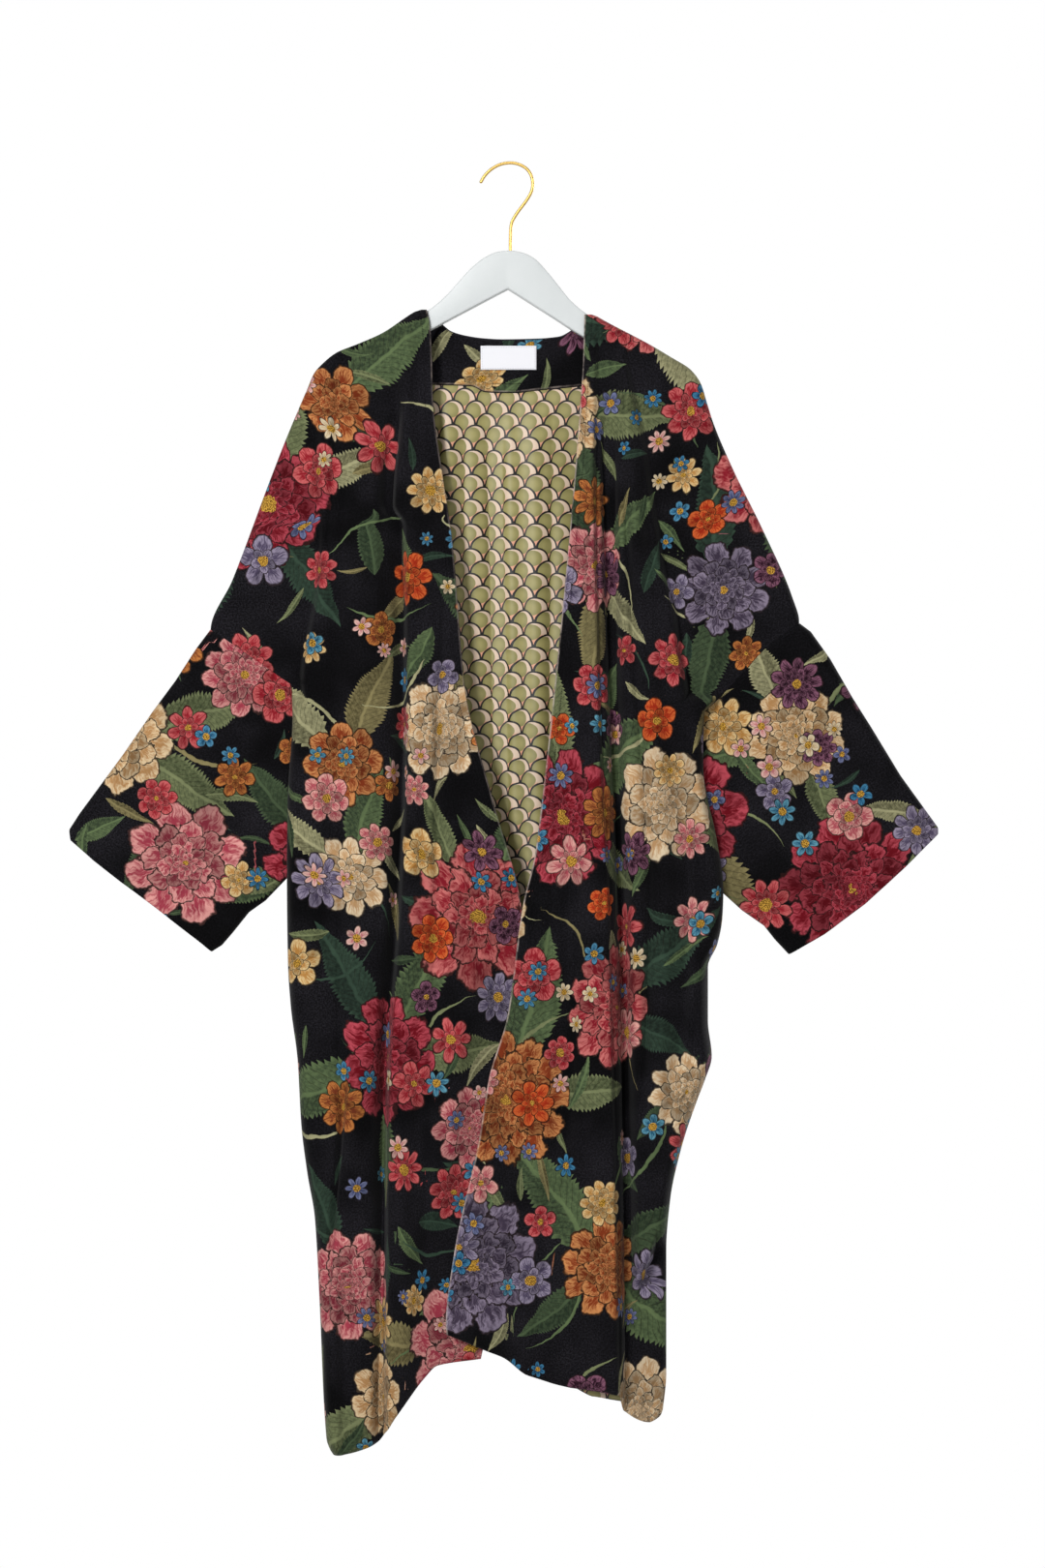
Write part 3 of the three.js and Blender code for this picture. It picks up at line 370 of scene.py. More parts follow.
def front_surface(side, rows, columns, turn_steps):
    """Front panel as a grid of points: rows run from the opening to the outer line, the depth is a
    function of place, and a quarter ellipse turns each row back to the side seam."""
    sign = side["sign"]
    near, far, progress = stations(rows, side["inner_marks"], side["outer_marks"])
    inner = along(side["opening"], "down", "across", near)
    outer = along(side["outline"], "down", "across", far)
    turn = np.minimum(along(TURN_WIDTH, "down", "width", far), np.abs(outer - inner) * 0.5)
    edge = outer - sign * turn
    middle_down = (near + far) / 2
    guides = [sign * (guide(middle_down) - inner) for guide in side["guides"]]
    marks = guide_marks(guides, columns, sign * (edge - inner))
    rim = np.broadcast_to(RIM_COLUMNS, (len(near), len(RIM_COLUMNS)))
    marks = np.concatenate([marks[:, :1], rim, marks[:, 1:]], 1)
    marks.sort(axis=1)
    across = inner[:, None] + sign * marks
    share = (across - inner[:, None]) / (outer - inner)[:, None]
    hem_inner, hem_outer = side["hem_across"]
    t = np.clip((across - hem_inner) / (hem_outer - hem_inner), 0, 1)
    hem_down = along(side["hem"], "across", "down", lerp(hem_inner, hem_outer, t))
    straight = lerp(side["inner_marks"][-1], side["outer_marks"][-1], t)
    shift = (hem_down - straight) * smoothstep((progress - HEM_FROM) / HEM_OVER)[:, None]
    down = lerp(near[:, None], far[:, None], share) + shift
    depth = side["depth"](across, down)
    end = np.arccos(turn_end(side["seam"], far, depth[:, -1]))[:, None]
    k = np.arange(1, turn_steps + 1) / turn_steps
    angle = end * k
    bulge = np.sin(angle) / np.sin(end)
    turned_across = edge[:, None] + sign * turn[:, None] * bulge
    turned_depth = np.maximum(depth[:, -1:] * np.cos(angle), SEAM_HALF)
    turned_down = lerp(down[:, -1:], far[:, None], k)
    return np.stack([np.concatenate([across, turned_across], 1),
                     -np.concatenate([depth, turned_depth], 1),
                     -np.concatenate([down, turned_down], 1)], 2)


def back_surface(rows, columns, turn_steps):
    """Back panel as a grid: rows run from the left outer line to the right one, dip to the
    neckline at the top and follow the hem at the bottom, and turn forward at both side seams."""
    right_down, left_down, progress = stations(rows, RIGHT_MARKS, LEFT_MARKS)
    left = along(LEFT_OUTLINE, "down", "across", left_down)
    right = along(RIGHT_OUTLINE, "down", "across", right_down)
    turn_left = along(TURN_WIDTH, "down", "width", left_down)
    turn_right = along(TURN_WIDTH, "down", "width", right_down)
    start, stop = left + turn_left, right - turn_right
    across = lerp(start[:, None], stop[:, None], np.linspace(0, 1, columns + 1))
    t = (across - left[:, None]) / (right - left)[:, None]
    neck_place = lerp(NECKLINE["across"][0], NECKLINE["across"][-1], t)
    neck_ends = lerp(NECKLINE["down"][0], NECKLINE["down"][-1], t)
    dip = along(NECKLINE, "across", "down", neck_place) - neck_ends
    dip = dip * (1 - smoothstep(progress / NECK_FADE))[:, None]
    hem_place = lerp(BACK_HEM["across"][0], BACK_HEM["across"][-1], t)
    hem_down = along(BACK_HEM, "across", "down", hem_place)
    straight = lerp(BACK_HEM["down"][0], BACK_HEM["down"][-1], t)
    shift = (hem_down - straight) * smoothstep((progress - HEM_FROM) / HEM_OVER)[:, None]
    down = lerp(left_down[:, None], right_down[:, None], t) + dip + shift
    depth = back_depth(across, down) + fold_rise(BACK_CREASES, across, down)
    k = np.arange(1, turn_steps + 1) / turn_steps

    def turned(rim_depth, rim_down, outer, outer_down, turn, sign, seam):
        """Quarter ellipse that turns one side's rim forward to its seam."""
        end = np.arccos(turn_end(seam, outer_down, rim_depth))[:, None]
        bulge = np.sin(end * k) / np.sin(end)
        return np.stack([outer[:, None] - sign * turn[:, None] * (1 - bulge),
                         np.maximum(rim_depth[:, None] * np.cos(end * k), SEAM_HALF),
                         -lerp(rim_down[:, None], outer_down[:, None], k)], 2)

    middle = np.stack([across, depth, -down], 2)
    left_turn = turned(depth[:, 0], down[:, 0], left, left_down, turn_left, -1, LEFT_SEAM)
    right_turn = turned(depth[:, -1], down[:, -1], right, right_down, turn_right, 1, RIGHT_SEAM)
    return np.concatenate([left_turn[:, ::-1], middle, right_turn], 1)


def seam_line(outline, seam):
    """Sleeve seam as (across, down) points: the panels' own outer line between the seam's ends."""
    down = np.linspace(seam["top"], seam["low"], 140)
    return np.column_stack([along(outline, "down", "across", down), down])


# Lower sleeves: edge lines as (across, down) pairs
LEFT_SLEEVE = {
    "upper": [(-309, 482), (-324, 502), (-346, 536), (-369, 567), (-400, 612), (-445, 673), (-456, 690)],
    "lower": [(-230, 737), (-254, 762), (-271, 774), (-287, 794), (-299, 808), (-310, 815)],
    "seam": seam_line(LEFT_OUTLINE, LEFT_SEAM),
    "cuff": [(-456, 690), (-455, 700), (-431, 721), (-403, 743), (-363, 773), (-318, 808), (-310, 815)],
}
RIGHT_SLEEVE = {
    "upper": [(299, 476), (311, 485), (331, 513), (354, 553), (373, 583), (404, 634), (443, 688)],
    "lower": [(220, 753), (241, 772), (264, 788), (275, 802), (290, 818)],
    "seam": seam_line(RIGHT_OUTLINE, RIGHT_SEAM),
    "cuff": [(443, 688), (443, 694), (410, 727), (368, 766), (326, 797), (290, 818)],
}
SLEEVE_DEPTH = 8.6
CUFF_DEPTH = 7.6
SLEEVE_TURN = 8
SLEEVE_SHIFT = 0.1

# Folds and creases along a sleeve: place, width and slant are shares of its height, rises are in mm
SLEEVE_FOLDS = table(("at", "rise", "width"), [(0.3, 2.4, 0.12), (0.55, -1.6, 0.14), (0.78, 1.8, 0.1)])
SLEEVE_CREASES = table(("at", "rise", "width", "slant"), [
    (0.18, 0.9, 0.04, 0.06), (0.43, 1.1, 0.05, -0.05), (0.66, -0.9, 0.04, 0.07), (0.88, 0.8, 0.04, -0.04)])
SLEEVE_FOLDS_FADE = 0.3


def on_line(line, fraction):
    """Points at fractions of the length of a line of (across, down) points."""
    points = np.array(line, float)
    lengths = np.concatenate([[0], np.cumsum(np.hypot(*np.diff(points, axis=0).T))])
    place = fraction * lengths[-1]
    return np.stack([np.interp(place, lengths, points[:, n]) for n in (0, 1)], -1)


def sleeve_surface(lines, sign, rings, across):
    """Lower sleeve as rings from the seam to the cuff. Places come from blending opposite edge
    lines, and the depth is that of a flat tube: a quarter circle at both edges and level between,
    with a few soft folds along it. The share s runs from the seam to the cuff, and r from the
    upper to the lower edge."""
    rim = np.array([0, 0.002, 0.006, 0.014, 0.028])
    places = np.concatenate([rim, np.linspace(0.04, 0.96, across), 1 - rim[::-1]])
    along_it = np.concatenate([[0, 0.002, 0.006], np.linspace(0.015, 0.985, rings), [0.994, 0.998, 1]])
    s = along_it[:, None, None]
    r = places[None, :, None]
    upper, lower = (on_line(lines[edge], along_it)[:, None] for edge in ("upper", "lower"))
    edges = lerp(upper, lower, r)
    ends = lerp(on_line(lines["seam"], places)[None], on_line(lines["cuff"], places)[None], s)
    corners = lerp(lerp(upper[:1], lower[:1], r), lerp(upper[-1:], lower[-1:], r), s)
    flat = edges + ends - corners
    height = np.linalg.norm(flat[:, :1] - flat[:, -1:], axis=2)
    inward = np.clip(np.minimum(places, 1 - places)[None] * height / SLEEVE_TURN, 0, 1)
    round_edge = np.sqrt(inward * (2 - inward))
    s2 = s[:, :, 0]
    depth = lerp(SLEEVE_DEPTH, CUFF_DEPTH, s2) * np.ones_like(round_edge)
    folds = np.zeros_like(round_edge)
    for at, rise, width in zip(*SLEEVE_FOLDS.values()):
        folds += rise * np.cos(np.clip((places[None] - at) / width, -1, 1) * np.pi / 2)
    creases = np.zeros_like(round_edge)
    for at, rise, width, slant in zip(*SLEEVE_CREASES.values()):
        offset = np.clip((places[None] - at - slant * (s2 - 0.5)) / width, -1, 1)
        creases += rise * np.cos(offset * np.pi / 2) ** 2
    fade = smoothstep(s2 / SLEEVE_FOLDS_FADE)
    x = flat[:, :, 0] + sign * SLEEVE_SHIFT * (1 - s2)
    z = -flat[:, :, 1]
    front = round_edge * (depth + (folds + creases) * fade)
    behind = round_edge * (depth + 0.5 * (folds - creases) * fade)
    front_half = np.stack([x, -front, z], 2)
    back_half = np.stack([x, behind, z], 2)[:, -2:0:-1]
    return np.concatenate([front_half, back_half], 1)


# Facing, lining and label, all worked out from the inside of the back
FACING_TOP = 1.5
FACING_LOW = table(("across", "down"), [(-100, 226), (-40, 228), (-25, 234), (4, 235), (34, 232), (96, 226)])
FACING_SIDES = {"top": (-71, 69), "low": (-100, 96)}
LINING_SIDES = (-155, 140)
LINING_BELOW_FACING = 1.2
LINING_ABOVE_HEM = 1.5
LABEL_WIDTH = 58
LABEL_HEIGHT = 25
LABEL_TOP = 187
LABEL_MIDDLE = -1.5
LINING_CREASES = [
    fold(232, 1300, 3.5, 9, 20, [(232, -66), (600, -58), (1300, -50)], 60),
    fold(232, 1300, 3, 22, 8, [(232, -34), (600, -26), (1300, -22)], 120),
    fold(240, 1300, 3.5, 8, 18, [(240, 0), (600, 6), (1300, 14)], 90),
    fold(232, 1300, 3, 16, 9, [(232, 36), (600, 32), (1300, 40)], 60),
    fold(240, 1300, 2.5, 12, 16, [(240, 60), (500, 56), (1300, 66)], 140),
]


def inside_back(columns, rows, top_sides, low_sides, top_at, low_at, creases=()):
    """Grid on the back's own surface between an upper and a lower line, each a function of across.
    The creases stand forward of it."""
    v = np.linspace(0, 1, rows + 1)[:, None]
    u = np.linspace(0, 1, columns + 1)[None]
    across = lerp(lerp(top_sides[0], low_sides[0], v), lerp(top_sides[1], low_sides[1], v), u)
    down = lerp(top_at(across), low_at(across), v)
    return np.stack([across, back_depth(across, down) - fold_rise(creases, across, down), -down], 2)


def grid_normals(grid, ring=False):
    """Unit vectors square to a grid, from the differences between neighbouring rows and columns."""
    downwards = np.gradient(grid, axis=0)
    if ring:
        sideways = (np.roll(grid, -1, 1) - np.roll(grid, 1, 1)) / 2
    else:
        sideways = np.gradient(grid, axis=1)
    normals = np.cross(sideways, downwards)
    return normals / np.maximum(np.linalg.norm(normals, axis=2, keepdims=True), 1e-9)


def edge_distance(grid, ring=False):
    """Distance of each point to the nearest open edge of its grid, measured along rows and columns."""
    down_steps = np.linalg.norm(np.diff(grid, axis=0), axis=2)
    down_length = np.concatenate([np.zeros((1, grid.shape[1])), np.cumsum(down_steps, 0)])
    distance = np.minimum(down_length, down_length[-1:] - down_length)
    if not ring:
        side_steps = np.linalg.norm(np.diff(grid, axis=1), axis=2)
        side_length = np.concatenate([np.zeros((grid.shape[0], 1)), np.cumsum(side_steps, 1)], 1)
        distance = np.minimum(distance, np.minimum(side_length, side_length[:, -1:] - side_length))
    return distance


def cloth_lengths(grid):
    """Flat-cloth coordinates of a grid in mm: length along each row from its first column, and the
    distance below the hook's crown."""
    side_steps = np.linalg.norm(np.diff(grid, axis=1), axis=2)
    side = np.concatenate([np.zeros((grid.shape[0], 1)), np.cumsum(side_steps, 1)], 1)
    return side, -grid[:, :, 2]


def sleeve_lengths(grid):
    """Flat-cloth coordinates of a sleeve: along its upper fold and square to it, and mirrored about
    that fold behind, where the cloth goes round it."""
    fold_start, fold_end = grid[0, 0], grid[-1, 0]
    along_fold = (fold_end - fold_start) / np.linalg.norm(fold_end - fold_start)
    from_start = grid - fold_start
    down = from_start[:, :, 0] * along_fold[0] + from_start[:, :, 2] * along_fold[2]
    side = np.abs(from_start[:, :, 0] * along_fold[2] - from_start[:, :, 2] * along_fold[0])
    return np.where(grid[:, :, 1] > 0, -side, side), down


def shell(name, grid, near, far, ring=False, y_low=None, y_high=None):
    """Closed wall of cloth between two distances from a grid: the wall thins to a half round at
    open edges, so the rim is soft. Returns the object and the grid indices of its vertices."""
    rows, columns = grid.shape[:2]
    normals = grid_normals(grid, ring)
    thick = abs(far - near)
    inward = np.clip(edge_distance(grid, ring) / (thick * 0.5), 0, 1)
    swell = np.sqrt(inward * (2 - inward))[:, :, None]
    middle = (near + far) / 2
    layers = []
    for side in (near, far):
        offset = middle + (side - middle) * np.maximum(swell, RIM_SHARE)
        moved = grid + normals * offset
        if y_low is not None or y_high is not None:
            moved[:, :, 1] = np.clip(moved[:, :, 1], y_low, y_high)
        layers.append(moved)
    points = np.concatenate([layer.reshape(-1, 3) for layer in layers]) * MM
    place = np.arange(rows * columns).reshape(rows, columns)
    wrapped = np.concatenate([place, place[:, :1]], 1) if ring else place
    a, b = wrapped[:-1, :-1], wrapped[:-1, 1:]
    c, d = wrapped[1:, 1:], wrapped[1:, :-1]
    total = rows * columns
    first = np.stack([a, b, c, d], 2).reshape(-1, 4)
    second = np.stack([a, d, c, b], 2).reshape(-1, 4) + total
    quads = [first, second]
    top, low = wrapped[0], wrapped[-1]
    quads.append(np.stack([top[1:], top[:-1], top[:-1] + total, top[1:] + total], 1))
    quads.append(np.stack([low[:-1], low[1:], low[1:] + total, low[:-1] + total], 1))
    if not ring:
        left, right = place[:, 0], place[:, -1]
        quads.append(np.stack([left[:-1], left[1:], left[1:] + total, left[:-1] + total], 1))
        quads.append(np.stack([right[1:], right[:-1], right[:-1] + total, right[1:] + total], 1))
    faces = np.concatenate(quads)
    corners = points[faces]
    across_one, across_two = corners[:, 2] - corners[:, 0], corners[:, 3] - corners[:, 1]
    volume = np.einsum("ij,ij->i", corners.mean(1), np.cross(across_one, across_two)).sum()
    if volume < 0:
        faces = faces[:, ::-1]
    obj = mesh_object(name, points, faces)
    return obj, np.concatenate([place.ravel(), place.ravel()])


def mesh_object(name, points, faces):
    """Mesh from whole arrays of points and faces, shaded smooth."""
    mesh = bpy.data.meshes.new(name)
    size = faces.shape[1]
    mesh.vertices.add(len(points))
    mesh.vertices.foreach_set("co", points.astype(np.float32).ravel())
    mesh.loops.add(faces.size)
    mesh.loops.foreach_set("vertex_index", faces.astype(np.int32).ravel())
    mesh.polygons.add(len(faces))
    mesh.polygons.foreach_set("loop_start", np.arange(0, faces.size, size, dtype=np.int32))
    mesh.update(calc_edges=True)
    mesh.validate()
    mesh.shade_smooth()
    obj = bpy.data.objects.new(name, mesh)
    bpy.context.scene.collection.objects.link(obj)
    return obj


def write_vector(obj, name, values):
    """Vector attribute on a mesh's points."""
    attribute = obj.data.attributes.new(name, "FLOAT_VECTOR", "POINT")
    attribute.data.foreach_set("vector", np.asarray(values, np.float32).ravel())


def moved(line, shift=0):
    """Function giving where a line, moved by shift, runs across for places down."""
    return lambda down: along(line, "down", "across", down) + shift


# The guides are lines that columns of points follow, from the opening outwards
LEFT_SIDE = {
    "sign": -1, "seam": LEFT_SEAM, "opening": LEFT_OPENING, "outline": LEFT_OUTLINE,
    "inner_marks": LEFT_INNER_MARKS, "outer_marks": LEFT_MARKS, "hem": LEFT_HEM,
    "hem_across": (-30, -183), "depth": left_depth,
    "guides": [moved(LEFT_FOLDS[0]["line"]), moved(LEFT_FOLDS[0]["line"], -10),
               moved(LEFT_BODY_EDGE, BODY_EDGE_WIDTH), moved(LEFT_BODY_EDGE)]}
RIGHT_SIDE = {
    "sign": 1, "seam": RIGHT_SEAM, "opening": RIGHT_OPENING, "outline": RIGHT_OUTLINE,
    "inner_marks": RIGHT_INNER_MARKS, "outer_marks": RIGHT_MARKS, "hem": RIGHT_HEM,
    "hem_across": (-65, 157), "depth": right_depth,
    "guides": [moved(RIGHT_FOLDS[0]["line"]), moved(RIGHT_FOLDS[0]["line"], 6),
               moved(RIGHT_FOLDS[0]["line"], 26), moved(RIGHT_BODY_EDGE, -BODY_EDGE_WIDTH),
               moved(RIGHT_BODY_EDGE)]}

# Counts of rows between the marks, of columns between the guides, and of steps round the side's turn
left_grid = front_surface(LEFT_SIDE, [34, 76, 30, 190], [34, 14, 32, 10, 26], 12)
right_grid = front_surface(RIGHT_SIDE, [34, 74, 34, 184], [36, 8, 14, 24, 10, 26], 12)
back_grid = back_surface([34, 70, 32, 160], 120, 10)
left_sleeve_grid = sleeve_surface(LEFT_SLEEVE, -1, 90, 64)
right_sleeve_grid = sleeve_surface(RIGHT_SLEEVE, 1, 90, 64)


def facing_top(across):
    """Facing's upper line, just under the neckline."""
    return along(NECKLINE, "across", "down", across) + FACING_TOP


def facing_low(across):
    """Facing's lower line."""
    return along(FACING_LOW, "across", "down", across)


def lining_top(across):
    """Lining's upper line, just under the facing."""
    return facing_low(across) + LINING_BELOW_FACING


def lining_low(across):
    """Lining's lower line, just over the back's hem."""
    return along(BACK_HEM, "across", "down", across) - LINING_ABOVE_HEM


facing_grid = inside_back(90, 30, FACING_SIDES["top"], FACING_SIDES["low"], facing_top, facing_low)
lining_grid = inside_back(150, 260, LINING_SIDES, LINING_SIDES, lining_top, lining_low, LINING_CREASES)
label_sides = (LABEL_MIDDLE - LABEL_WIDTH / 2, LABEL_MIDDLE + LABEL_WIDTH / 2)
label_grid = inside_back(60, 26, label_sides, label_sides, lambda across: LABEL_TOP + 0 * across,
                         lambda across: LABEL_TOP + LABEL_HEIGHT + 0 * across)

# Distances of the inner layers from the middle of the back's wall
FACING_NEAR = 1.65
LINING_NEAR = FACING_NEAR + 1.8
LABEL_NEAR = FACING_NEAR + 2.4
LABEL_WALL = 0.7


def linear(code):
    """Colour from a hex code, as the shaders' linear values."""
    channels = np.array([int(code[i:i + 2], 16) for i in (0, 2, 4)]) / 255
    return tuple(np.where(channels <= 0.04045, channels / 12.92, ((channels + 0.055) / 1.055) ** 2.4))


# Generic floral print: pairs of inner and tip colours for flowers, and of two halves for leaves
LARGE_FLOWERS = [("76101e", "c4505f"), ("a83e50", "eba6a2"), ("bd8f5e", "f0d6ae"), ("43394c", "9488a0"),
                 ("8a3a1e", "d8945c"), ("94202f", "dd7e7c"), ("cba173", "f4e0c0")]
MIDDLE_FLOWERS = [("a82c16", "e2703a"), ("c08a48", "ecd09a"), ("2a1120", "94627c"), ("981f2c", "d96c6e"),
                  ("b5525f", "efb3aa"), ("7a3a22", "cf8446"), ("544b66", "a49ab4")]
SMALL_FLOWERS = [("123f68", "4a8fb8"), ("38406a", "8088b0"), ("c2757c", "f0cabf"), ("184f72", "6aa9c2"),
                 ("c0a478", "eedfc2"), ("164a70", "5c9cc0")]
LEAVES = [("263326", "526448"), ("434c34", "879068"), ("1e2a24", "3c5244"), ("544e34", "968c62"),
          ("334030", "6c8058"), ("605f46", "b6b48c")]
PRINT_SEED = 23
FULL_TURN = 6.28

# Tries at placing a large flower, and the area in square mm for each try at another motif
LARGE_TRIES = 170
AREA_FOR_EACH = {"middle": 3600, "small": 9500, "long_spray": 6000, "spray": 1100, "leaf": 2500}

# Gap that a motif keeps, as a share of its half size and in mm, and how far its colours are written
GAP_SHARE = 1.16
GAP_MORE = 5
FAR_APART = 10
WRITTEN_TO = 1.15


class Motifs:
    """Motifs of one layer of the print on one panel. Each has a middle, a half size, an angle, two
    colours and three numbers for its form, and keeps clear of the layer's other motifs."""

    def __init__(self, slim):
        self.slim = slim
        self.made = []

    def local(self, motif, points):
        """Places in a motif's own frame, in units of its half size."""
        turned = points - motif["middle"]
        cosine, sine = math.cos(motif["angle"]), math.sin(motif["angle"])
        return np.stack([turned[..., 0] * cosine + turned[..., 1] * sine,
                         turned[..., 1] * cosine - turned[..., 0] * sine], -1) / motif["size"]

    def reach(self, places):
        """Distance from the middle, with the width counted as slim times less than the length."""
        return np.hypot(places[..., 0], places[..., 1] / self.slim)

    def outline(self, motif):
        """Ring of points round a motif, another half way in, and its middle."""
        angle = np.linspace(0, 2 * np.pi, 12, endpoint=False)
        ring = np.stack([np.cos(angle), np.sin(angle) * self.slim], 1)
        cosine, sine = math.cos(motif["angle"]), math.sin(motif["angle"])
        turn = np.array([[cosine, sine], [-sine, cosine]])
        return motif["middle"] + np.concatenate([ring, ring * 0.5, [[0, 0]]]) @ turn * motif["size"]

    def place(self, middle, size, angle, colours, form):
        """Adds a motif if it is clear of the others."""
        motif = {"middle": np.array(middle), "size": size, "angle": angle, "colours": colours,
                 "form": form}
        gap = GAP_SHARE + GAP_MORE / size
        for other in self.made:
            far = np.hypot(*(motif["middle"] - other["middle"])) - size - other["size"]
            if far > FAR_APART:
                continue
            touching = (self.reach(self.local(other, self.outline(motif))) < gap).any()
            if touching or (self.reach(self.local(motif, self.outline(other))) < gap).any():
                return
        self.made.append(motif)

    def write(self, obj, name, flat, index):
        """Writes the layer to a mesh: local place and margin, both colours and the form."""
        values = {key: np.zeros((len(flat), 3)) for key in ("place", "base", "tip", "form")}
        values["place"][:, 2] = -1
        best = np.full(len(flat), 9.0)
        for motif in self.made:
            places = self.local(motif, flat)
            reach = self.reach(places)
            near = reach < best
            best = np.minimum(best, reach)
            values["place"][near] = np.column_stack([places, WRITTEN_TO - reach])[near]
            values["base"][near] = motif["colours"][0]
            values["tip"][near] = motif["colours"][1]
            values["form"][near] = motif["form"]
        for key, array in values.items():
            write_vector(obj, name + "_" + key, array[index])


# Bouquets of the print on each panel as (side, down, spread) in mm of flat cloth
BOUQUETS = {
    "left_front": [(70, 520, 60), (80, 700, 80), (110, 900, 80), (100, 1080, 90), (40, 1230, 80),
                   (-10, 620, 60), (-40, 820, 70), (20, 1020, 60), (-110, 330, 60)],
    "right_front": [(-70, 560, 60), (-110, 760, 70), (-120, 920, 70), (-110, 1060, 70), (10, 420, 70),
                    (30, 640, 70), (10, 900, 80), (0, 1160, 80), (60, 250, 60), (140, 380, 60)],
    "back_panel": [(-60, 260, 80), (80, 420, 90), (-90, 520, 90), (60, 700, 90), (-80, 860, 90),
                   (70, 1000, 90), (-60, 1180, 90), (90, 1240, 60), (-180, 380, 60), (190, 330, 60)],
    "left_lower_sleeve": [(60, 130, 60), (160, 70, 60), (150, 200, 60), (-90, 60, 70), (-140, 190, 70)],
    "right_lower_sleeve": [(70, 60, 60), (130, 190, 70), (180, 90, 60), (-70, 170, 70), (-150, 80, 70)],
    "back_neck_facing": [(40, 190, 30), (120, 215, 40), (180, 190, 30)],
}


def print_on(name, flat):
    """Layers of motifs for one panel, drawn by a seeded draw: large flowers thrown about the
    bouquets, leaves fanned around them, then smaller flowers, sprays and loose leaves."""
    random = np.random.default_rng(PRINT_SEED + list(BOUQUETS).index(name))
    low, high = flat.min(0), flat.max(0)
    area = np.prod(high - low)
    small_panel = name == "back_neck_facing"
    layers = {"leaf": Motifs(0.42), "spray": Motifs(0.3), "large": Motifs(1), "middle": Motifs(1),
              "small": Motifs(1)}

    def pick(colours):
        """One of the pairs of colours."""
        base, tip = colours[random.integers(len(colours))]
        return linear(base), linear(tip)

    def near_bouquet(spread):
        """Place thrown about one of the panel's bouquets."""
        side, down, width = BOUQUETS[name][random.integers(len(BOUQUETS[name]))]
        return np.array([side, down]) + random.normal(0, width * spread, 2)

    def anywhere():
        """Place anywhere on the panel."""
        return random.uniform(low, high)

    def any_angle():
        """Any way round."""
        return random.uniform(0, FULL_TURN)

    for _ in range(0 if small_panel else LARGE_TRIES):
        size = random.uniform(40, 82)
        rings = random.uniform(2.4, 3.6)
        layers["large"].place(near_bouquet(0.75), size, any_angle(), pick(LARGE_FLOWERS),
                              (round(rings * random.uniform(2.6, 3.6)), rings,
                               random.uniform(0, 0.12)))
    for flower in list(layers["large"].made):
        first = any_angle()
        for k in range(6):
            angle = first + k * 1.05 + random.uniform(-0.3, 0.3)
            size = random.uniform(42, 76)
            away = flower["size"] * 0.85 + size * 0.7
            middle = flower["middle"] + away * np.array([math.cos(angle), math.sin(angle)])
            layers["leaf"].place(middle, size, angle, pick(LEAVES),
                                 (random.uniform(0.3, 0.4), random.uniform(-0.12, 0.12),
                                  random.uniform(7, 10)))
    for _ in range(int(area / AREA_FOR_EACH["middle"])):
        size = random.uniform(17, 32)
        spot = near_bouquet(1.2) if random.random() < 0.75 else anywhere()
        rings = random.uniform(1.2, 2.4)
        layers["middle"].place(spot, size, any_angle(), pick(MIDDLE_FLOWERS),
                               (random.integers(5, 10), rings, random.uniform(0.1, 0.24)))
    for _ in range(int(area / AREA_FOR_EACH["small"])):
        spot = near_bouquet(1.6) if random.random() < 0.5 else anywhere()
        colours = pick(SMALL_FLOWERS)
        for k in range(random.integers(3, 8)):
            size = random.uniform(8, 15)
            angle = k * 2.4 + random.uniform(-0.3, 0.3)
            middle = spot + (4 + 12 * math.sqrt(k)) * np.array([math.cos(angle), math.sin(angle)])
            layers["small"].place(middle, size, any_angle(), colours,
                                  (random.integers(5, 9), random.uniform(0.8, 1.2), 0.3))
    for _ in range(0 if small_panel else int(area / AREA_FOR_EACH["long_spray"])):
        layers["spray"].place(near_bouquet(1.6), random.uniform(40, 62), any_angle(), pick(LEAVES),
                              (0.035, random.uniform(0.25, 0.5) * random.choice([-1, 1]), 3))
    for _ in range(int(area / AREA_FOR_EACH["spray"])):
        size = random.uniform(16, 34)
        spot = near_bouquet(1.5) if random.random() < 0.6 else anywhere()
        layers["spray"].place(spot, size, any_angle(), pick(LEAVES),
                              (random.uniform(0.12, 0.26), random.uniform(-0.25, 0.25),
                               random.uniform(4, 7)))
    for _ in range(int(area / AREA_FOR_EACH["leaf"])):
        layers["leaf"].place(near_bouquet(1.5), random.uniform(22, 40), any_angle(), pick(LEAVES),
                             (random.uniform(0.26, 0.4), random.uniform(-0.15, 0.15),
                              random.uniform(6, 10)))
    return layers


# Where the print's sideways measure starts on each panel, so that the cloth's grain hangs straight
GRAIN_AT = {"left_front": -110, "right_front": 110, "back_panel": 0}

